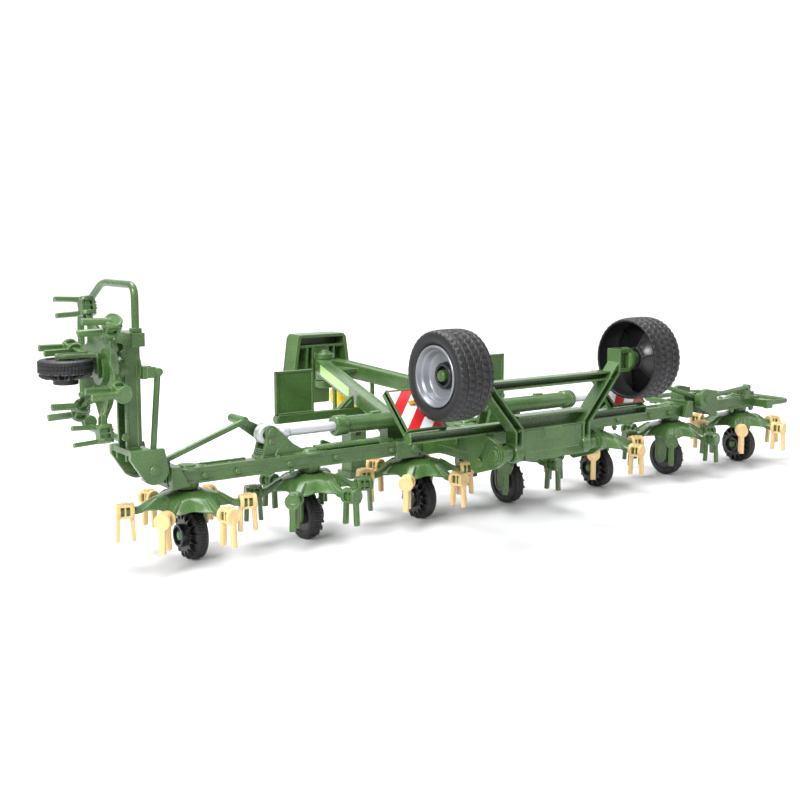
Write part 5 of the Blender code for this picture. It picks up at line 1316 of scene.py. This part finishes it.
def fold_rod_parts(sign):
    y = FOLD_Y
    far = Vector((OUTER_ROTOR_X - 2, y, BEAM_TOP + 7.8))
    near = Vector((OUTER_HINGE.x + 2.5, y, OUTER_HINGE.z + 0.6))
    eye = [(1.9, -1.1), (3.2, -1.1), (3.6, -0.7), (3.6, 0.7), (3.2, 1.1), (1.9, 1.1)]
    parts = [pipe([near, far], 1.5, 20), disc(1.9, y - 2.4, y + 2.4, "Y", (far.x, 0, far.z), 24),
             turn(eye, "Y", (OUTER_HINGE.x, y, OUTER_HINGE.z), 28)]
    return [(mirrored(shape, sign), GREEN) for shape in parts]


def rail_parts(sign):
    """The guard rail, flattened slightly where it was bent, and its spool at the inner end."""
    end, far, inner = OUTER_ROTOR_X + 17, OUTER_ROTOR_X + 39, OUTER_HINGE.x + 13
    path = [(end + 0.6, -13), (far, -13), (far, 25), (OUTER_ROTOR_X + 22, 55), (inner, 55), (inner, 5.6)]
    path = rounded([(x, y, BEAM_Z) for x, y in path], 6, 8)
    parts = [pipe(path, 1.75, 20)]
    for low, high, radius in ((49.0, 50.4, 3.4), (50.2, 53.8, 2.4), (45.6, 47.0, 3.4), (46.8, 49.2, 2.4)):
        parts.append(disc(radius, low, high, "Y", (inner + 3, 0, BEAM_Z), 28, 0.3))
    for x in (inner + 16, inner + 34):
        parts.append(turn([(1.6, -1.2), (2.3, -1.0), (2.5, 0), (2.3, 1.0), (1.6, 1.2)], "X",
                          (x, 55, BEAM_Z), 24))
    parts.append(block((end + 0.3, -14.8, BEAM_Z - 2.3), (end + 2.4, -11.2, BEAM_Z + 2.3)))
    return [(mirrored(shape, sign), GREEN) for shape in parts]


for side, sign in SIDES.items():
    body = f"outer_{side}"
    # the folded side is drawn flat and swung up by the piece function
    piece(f"outer_moulding_{side}", body, outer_parts(sign), [f"outer_beam_{side}"],
          bevel=0.22)
    piece(f"fold_rod_{side}", body, fold_rod_parts(sign), [f"folding_rod_{side}"], bevel=0.15)
    piece(f"rail_{side}", body, rail_parts(sign), [f"guard_rail_{side}"], bevel=0.1)
print("pieces so far", len(BUILT))

# %% [markdown]
# ## Centre frame
# The centre carries everything: a beam with the main gearbox, two arms back to the pivot
# plates, ears for the lift cylinders and the seat of the drawbar. The casting itself stays as
# the CAD has it. Added on it are the gearbox cover with its ribs, bolts, hose stubs, a curved
# belly under the beam and long bosses down the arms.

# %% Details of the centre
def centre_trim():
    parts = []
    for y in (-9.2, 12.0):
        low, high = sorted((y, y - 0.9 if y < 0 else y + 0.2))
        for x in (-6.4, -2.4, 1.6, 5.6):
            parts.append(block((x - 0.5, low, BEAM_BOTTOM + 1), (x + 0.5, high, BEAM_TOP + 3.4)))
    parts.append(turn([(0.001, 0), (6.4, 0), (6.4, 0.7), (5.6, 1.3), (3.0, 1.5), (2.6, 2.6), (0.001, 2.8)],
                      centre=(0, 0, BEAM_TOP + 3.9)))
    for x, y in ((-7.4, -7.2), (7.4, -7.2), (-7.4, 9.8), (7.4, 9.8)):
        parts += bolt(x, y, BEAM_TOP + 4, 1.2, 1.0)
    belly = arc((0, BEAM_BOTTOM + 0.5), 1.0, 180, 360, 16)
    belly = [(x * 17, BEAM_BOTTOM + 0.5 + (z - BEAM_BOTTOM - 0.5) * 5.5) for x, z in belly]
    parts.append(plate(belly, "Y", -8.6, -7.4))
    parts.append(plate(belly, "Y", 7.4, 8.6))
    for sign in (-1, 1):
        x = sign * 33.6
        for y0, y1, z in ((-50, -22, BEAM_TOP + 6.4), (-46, -18, BEAM_Z + 2.4)):
            low, high = sorted((x - sign * 0.9, x + sign * 0.3))
            parts.append(block((low, y0, z), (high, y1, z + 1.3)))
        for y, z in ((-17, BEAM_TOP + 4), (-34, BEAM_TOP + 3)):
            low, high = sorted((x - sign * 0.6, x + sign * 0.9))
            parts.append(disc(1.7, low, high, "X", (0, y, z), 24, 0.3))
        parts += bolt(sign * 27.5, -33, BEAM_TOP + 7, 1.6, 1.5) + bolt(sign * 12, -33, BEAM_TOP + 7, 1.4, 1.2)
        for y in (-1, 9):
            parts += bolt(sign * 34, y + 4.2, BEAM_TOP, 1.3, 1.0)
        pin = [(0.001, -6.4), (1.6, -6.4), (2.2, -5.9), (2.2, -5.3), (0.001, -5.3)]
        parts.append(turn(pin, "Y", (sign * CYLINDER.x, CYLINDER.y, CYLINDER.z), 24))
    return [(shape, GREEN) for shape in parts]


piece("centre_trim", "centre", centre_trim(), bevel=0.2)

# %% [markdown]
# The parking stand is a plain prop with a fork at the top. It gets a raised border on its
# faces and round pin ends at its pivot.

# %% Parking stand
def stand_parts():
    pivot = JOINTS["parking_stand_fold"]
    parts = []
    for y in (-5.6, 5.6):
        low, high = sorted((pivot.y + y, pivot.y + y * 1.09))
        parts.append(block((-4.4, low, 6), (-3.4, high, pivot.z - 9)))
        parts.append(block((3.4, low, 6), (4.4, high, pivot.z - 9)))
        parts.append(block((-4.4, low, 6), (4.4, high, 7)))
    for sign in (-1, 1):
        low, high = sorted((sign * 6, sign * 6.9))
        parts.append(disc(2.6, low, high, "X", (0, pivot.y, pivot.z), 28, 0.3))
    return [(shape, GREEN) for shape in parts]


piece("stand_trim", "parking_stand", stand_parts(), bevel=0.15)

# %% [markdown]
# ## Drawbar
# The drawbar's two legs run together like an A to the swivel. Seen from the side each leg
# tapers: it is deepest at its foot and slim at the tip, and its lower edge rises, so the yellow
# ball of the drive shaft shows under it. A pressed bead stiffens the top edges, and the left
# leg carries a light-green label, left blank.

# %% Drawbar
LEG_REAR_Y = 9
LEG_REACH = 137


def leg_point(share, across, rise, sign):
    """A point on a drawbar leg: share along it, across its width and up its side, each 0 to 1."""
    rear, tip = Vector((44, LEG_REAR_Y)), Vector((5, LEG_REAR_Y + LEG_REACH))
    x, y = rear.lerp(tip, share)
    bottom = 50 + 15.5 * share
    top = 57.5 + 17 * share
    return Vector((sign * (x + (across - 0.5) * 8), y, bottom + rise * (top - bottom)))


def drawbar_parts():
    parts = []
    for sign in (-1, 1):
        rings = []
        for share in (0.0, 0.5, 1.0):
            corners = ((0, 0), (1, 0), (1, 1), (0, 1))
            rings.append([leg_point(share, across, rise, sign) for across, rise in corners])
        parts.append((skin(rings, caps=True), GREEN))
        for across in (0.07, 0.93):
            for rise, depth in ((1.0, 1.1), (0.0, 0.8)):
                bead = [leg_point(share, across, rise, sign) for share in (0.01, 0.95)]
                parts.append((bar(bead, 1.0, depth), GREEN))
        # foot block on the centre frame, with a bolt
        foot = leg_point(0.0, 0.5, 0.0, sign)
        low = foot - Vector((5.2, 1.5, 0.1))
        parts.append((block(low, foot + Vector((5.2, 9, 5.4))), GREEN))
        parts += [(shape, GREEN) for shape in bolt(foot.x, foot.y + 3.8, foot.z + 6.8, 1.9, 1.8)]
    # web between the legs near the tip, and the barrel that the headstock turns in
    web = [(-11, 122), (11, 122), (7, 144), (-7, 144)]
    parts.append((plate(web, "Z", 68, 70), GREEN))
    parts.append((turn([(3.3, 60.5), (6.2, 60.5), (6.5, 60.9), (6.5, 74.1), (6.2, 74.5), (3.3, 74.5)],
                       centre=(0, HITCH.y, 0)), GREEN))
    # yoke under the legs that carries the parking stand
    stand = JOINTS["parking_stand_fold"]
    share = (stand.y - LEG_REAR_Y) / LEG_REACH
    reach, leg_z = leg_point(share, 0.5, 0, 1).x, leg_point(share, 0.5, 0, 1).z
    for sign in (-1, 1):
        low, high = sorted((sign * reach, sign * (reach + 1.8)))
        parts.append((block((low, stand.y - 1.2, stand.z + 8), (high, stand.y + 1.2, leg_z + 1)), GREEN))
    low = (-reach - 1, stand.y - 1.6, stand.z + 6.2)
    parts.append((block(low, (reach + 1, stand.y + 1.6, stand.z + 8.2)), GREEN))
    ear = [(stand.y - 3.8, stand.z + 7), (stand.y + 3.8, stand.z + 7)]
    ear += arc((stand.y, stand.z), 3.8, 0, -180, 16)
    parts.append((plate(ear, "X", -3.6, 3.6), GREEN))
    parts.append((disc(1.6, -7, 7, "X", (0, stand.y, stand.z), 24), GREEN))
    # the label: a thin film on the outer side of the left leg
    places = ((0.94, 0.12), (0.50, 0.12), (0.50, 0.88), (0.94, 0.88))
    corners = [leg_point(share, 1.0, rise, -1) for share, rise in places]
    normal = Vector((-0.962, -0.274, 0)) * 0.15
    parts.append((skin([[c + normal * 0.2 for c in corners], [c + normal for c in corners]], caps=True),
                  LIME))
    return parts


piece("drawbar_moulding", "centre", drawbar_parts(), ["drawbar"], bevel=0.2)

# %% [markdown]
# ## Studio
# A seamless sweep of pale paper: flat floor, then a wide curve up the wall, so no horizon
# shows. One big soft box overhead, a second from the front left and a weak one on the right
# give broad highlights and soft shadows under the rotors, over an even pale surround.

# %% Floor and lights
FLOOR_END_Y = 1.6
SWEEP_R = 0.9


def studio_paper():
    material, shader = finish("pale_studio_paper", 0.75, 1.45)
    place = add(material, "TexCoord").outputs["Object"]
    fibre = add(material, "TexNoise", Vector=place, Scale=1 / (2 * MM), Detail=4.0)
    tint = add(material, "Mix", {"data_type": "RGBA"}, i0=fibre.outputs["Fac"], i6=colour("#dcdcde"),
               i7=colour("#e0e0e2"))
    link(material, tint.outputs[2], shader.inputs["Base Color"])
    return material


def floor():
    outline = [(-3.5, 0.0), (FLOOR_END_Y, 0.0)]
    for step in range(1, 11):
        turned = math.radians(step * 9)
        outline.append((FLOOR_END_Y + SWEEP_R * math.sin(turned), SWEEP_R - SWEEP_R * math.cos(turned)))
    outline.append((FLOOR_END_Y + SWEEP_R, 3.0))
    shape = skin([[(x, y, z) for y, z in outline] for x in (-4.0, 4.0)], closed_ring=False)
    sweep_paper = as_object(shape, "studio_floor")
    for face in sweep_paper.data.polygons:
        face.use_smooth = True
    sweep_paper.data.materials.append(studio_paper())
    sweep_paper.rotation_euler = (0, 0, math.radians(-36))


def soft_box(name, power, size, location, target):
    lamp = bpy.data.lights.new(name, "AREA")
    lamp.energy = power
    lamp.shape = "RECTANGLE"
    lamp.size, lamp.size_y = size
    made = bpy.data.objects.new(name, lamp)
    bpy.context.scene.collection.objects.link(made)
    made.location = location
    made.rotation_euler = (Vector(target) - Vector(location)).to_track_quat("-Z", "Y").to_euler()


floor()
soft_box("soft_box_above", 11, (0.7, 0.5), (-0.2, 0.15, 1.0), (0, 0, 0))
soft_box("soft_box_front_left", 13, (0.4, 0.45), (-1.0, -0.5, 0.7), (-0.05, 0, 0.05))
soft_box("soft_box_right", 2.2, (0.5, 0.7), (1.0, -0.7, 0.6), (0.1, 0, 0.05))
soft_box("wall_wash", 55, (3.4, 1.2), (0.3, 0.6, 1.9), (1.35, 1.85, 0.75))
world = bpy.data.worlds.new("pale_surround")
world.use_nodes = True
world.node_tree.nodes["Background"].inputs["Color"].default_value = colour("#fafafc")
world.node_tree.nodes["Background"].inputs["Strength"].default_value = 0.65
bpy.context.scene.world = world
bpy.context.scene.view_settings.view_transform = "Standard"

# %% [markdown]
# ## Camera
# The camera stands low behind the machine's left wing and looks along the rotor line with a
# moderately long lens, so the far wing shrinks but nothing is stretched.

# %% Camera
lens = bpy.data.cameras.new("camera")
lens.sensor_width = 36
lens.lens = 52.73
lens.shift_y = -0.0306
lens.clip_start = 0.01
camera = bpy.data.objects.new("camera", lens)
bpy.context.scene.collection.objects.link(camera)
camera.location = ORIGIN + Vector((-421.0, -516.4, 161.1)) * MM
camera.rotation_euler = (math.radians(90 - 7.104), 0, math.radians(-35.98))
bpy.context.scene.camera = camera

# %% [markdown]
# Last, the number of pieces built is printed.

# %% Pieces built
print("pieces", len(BUILT))
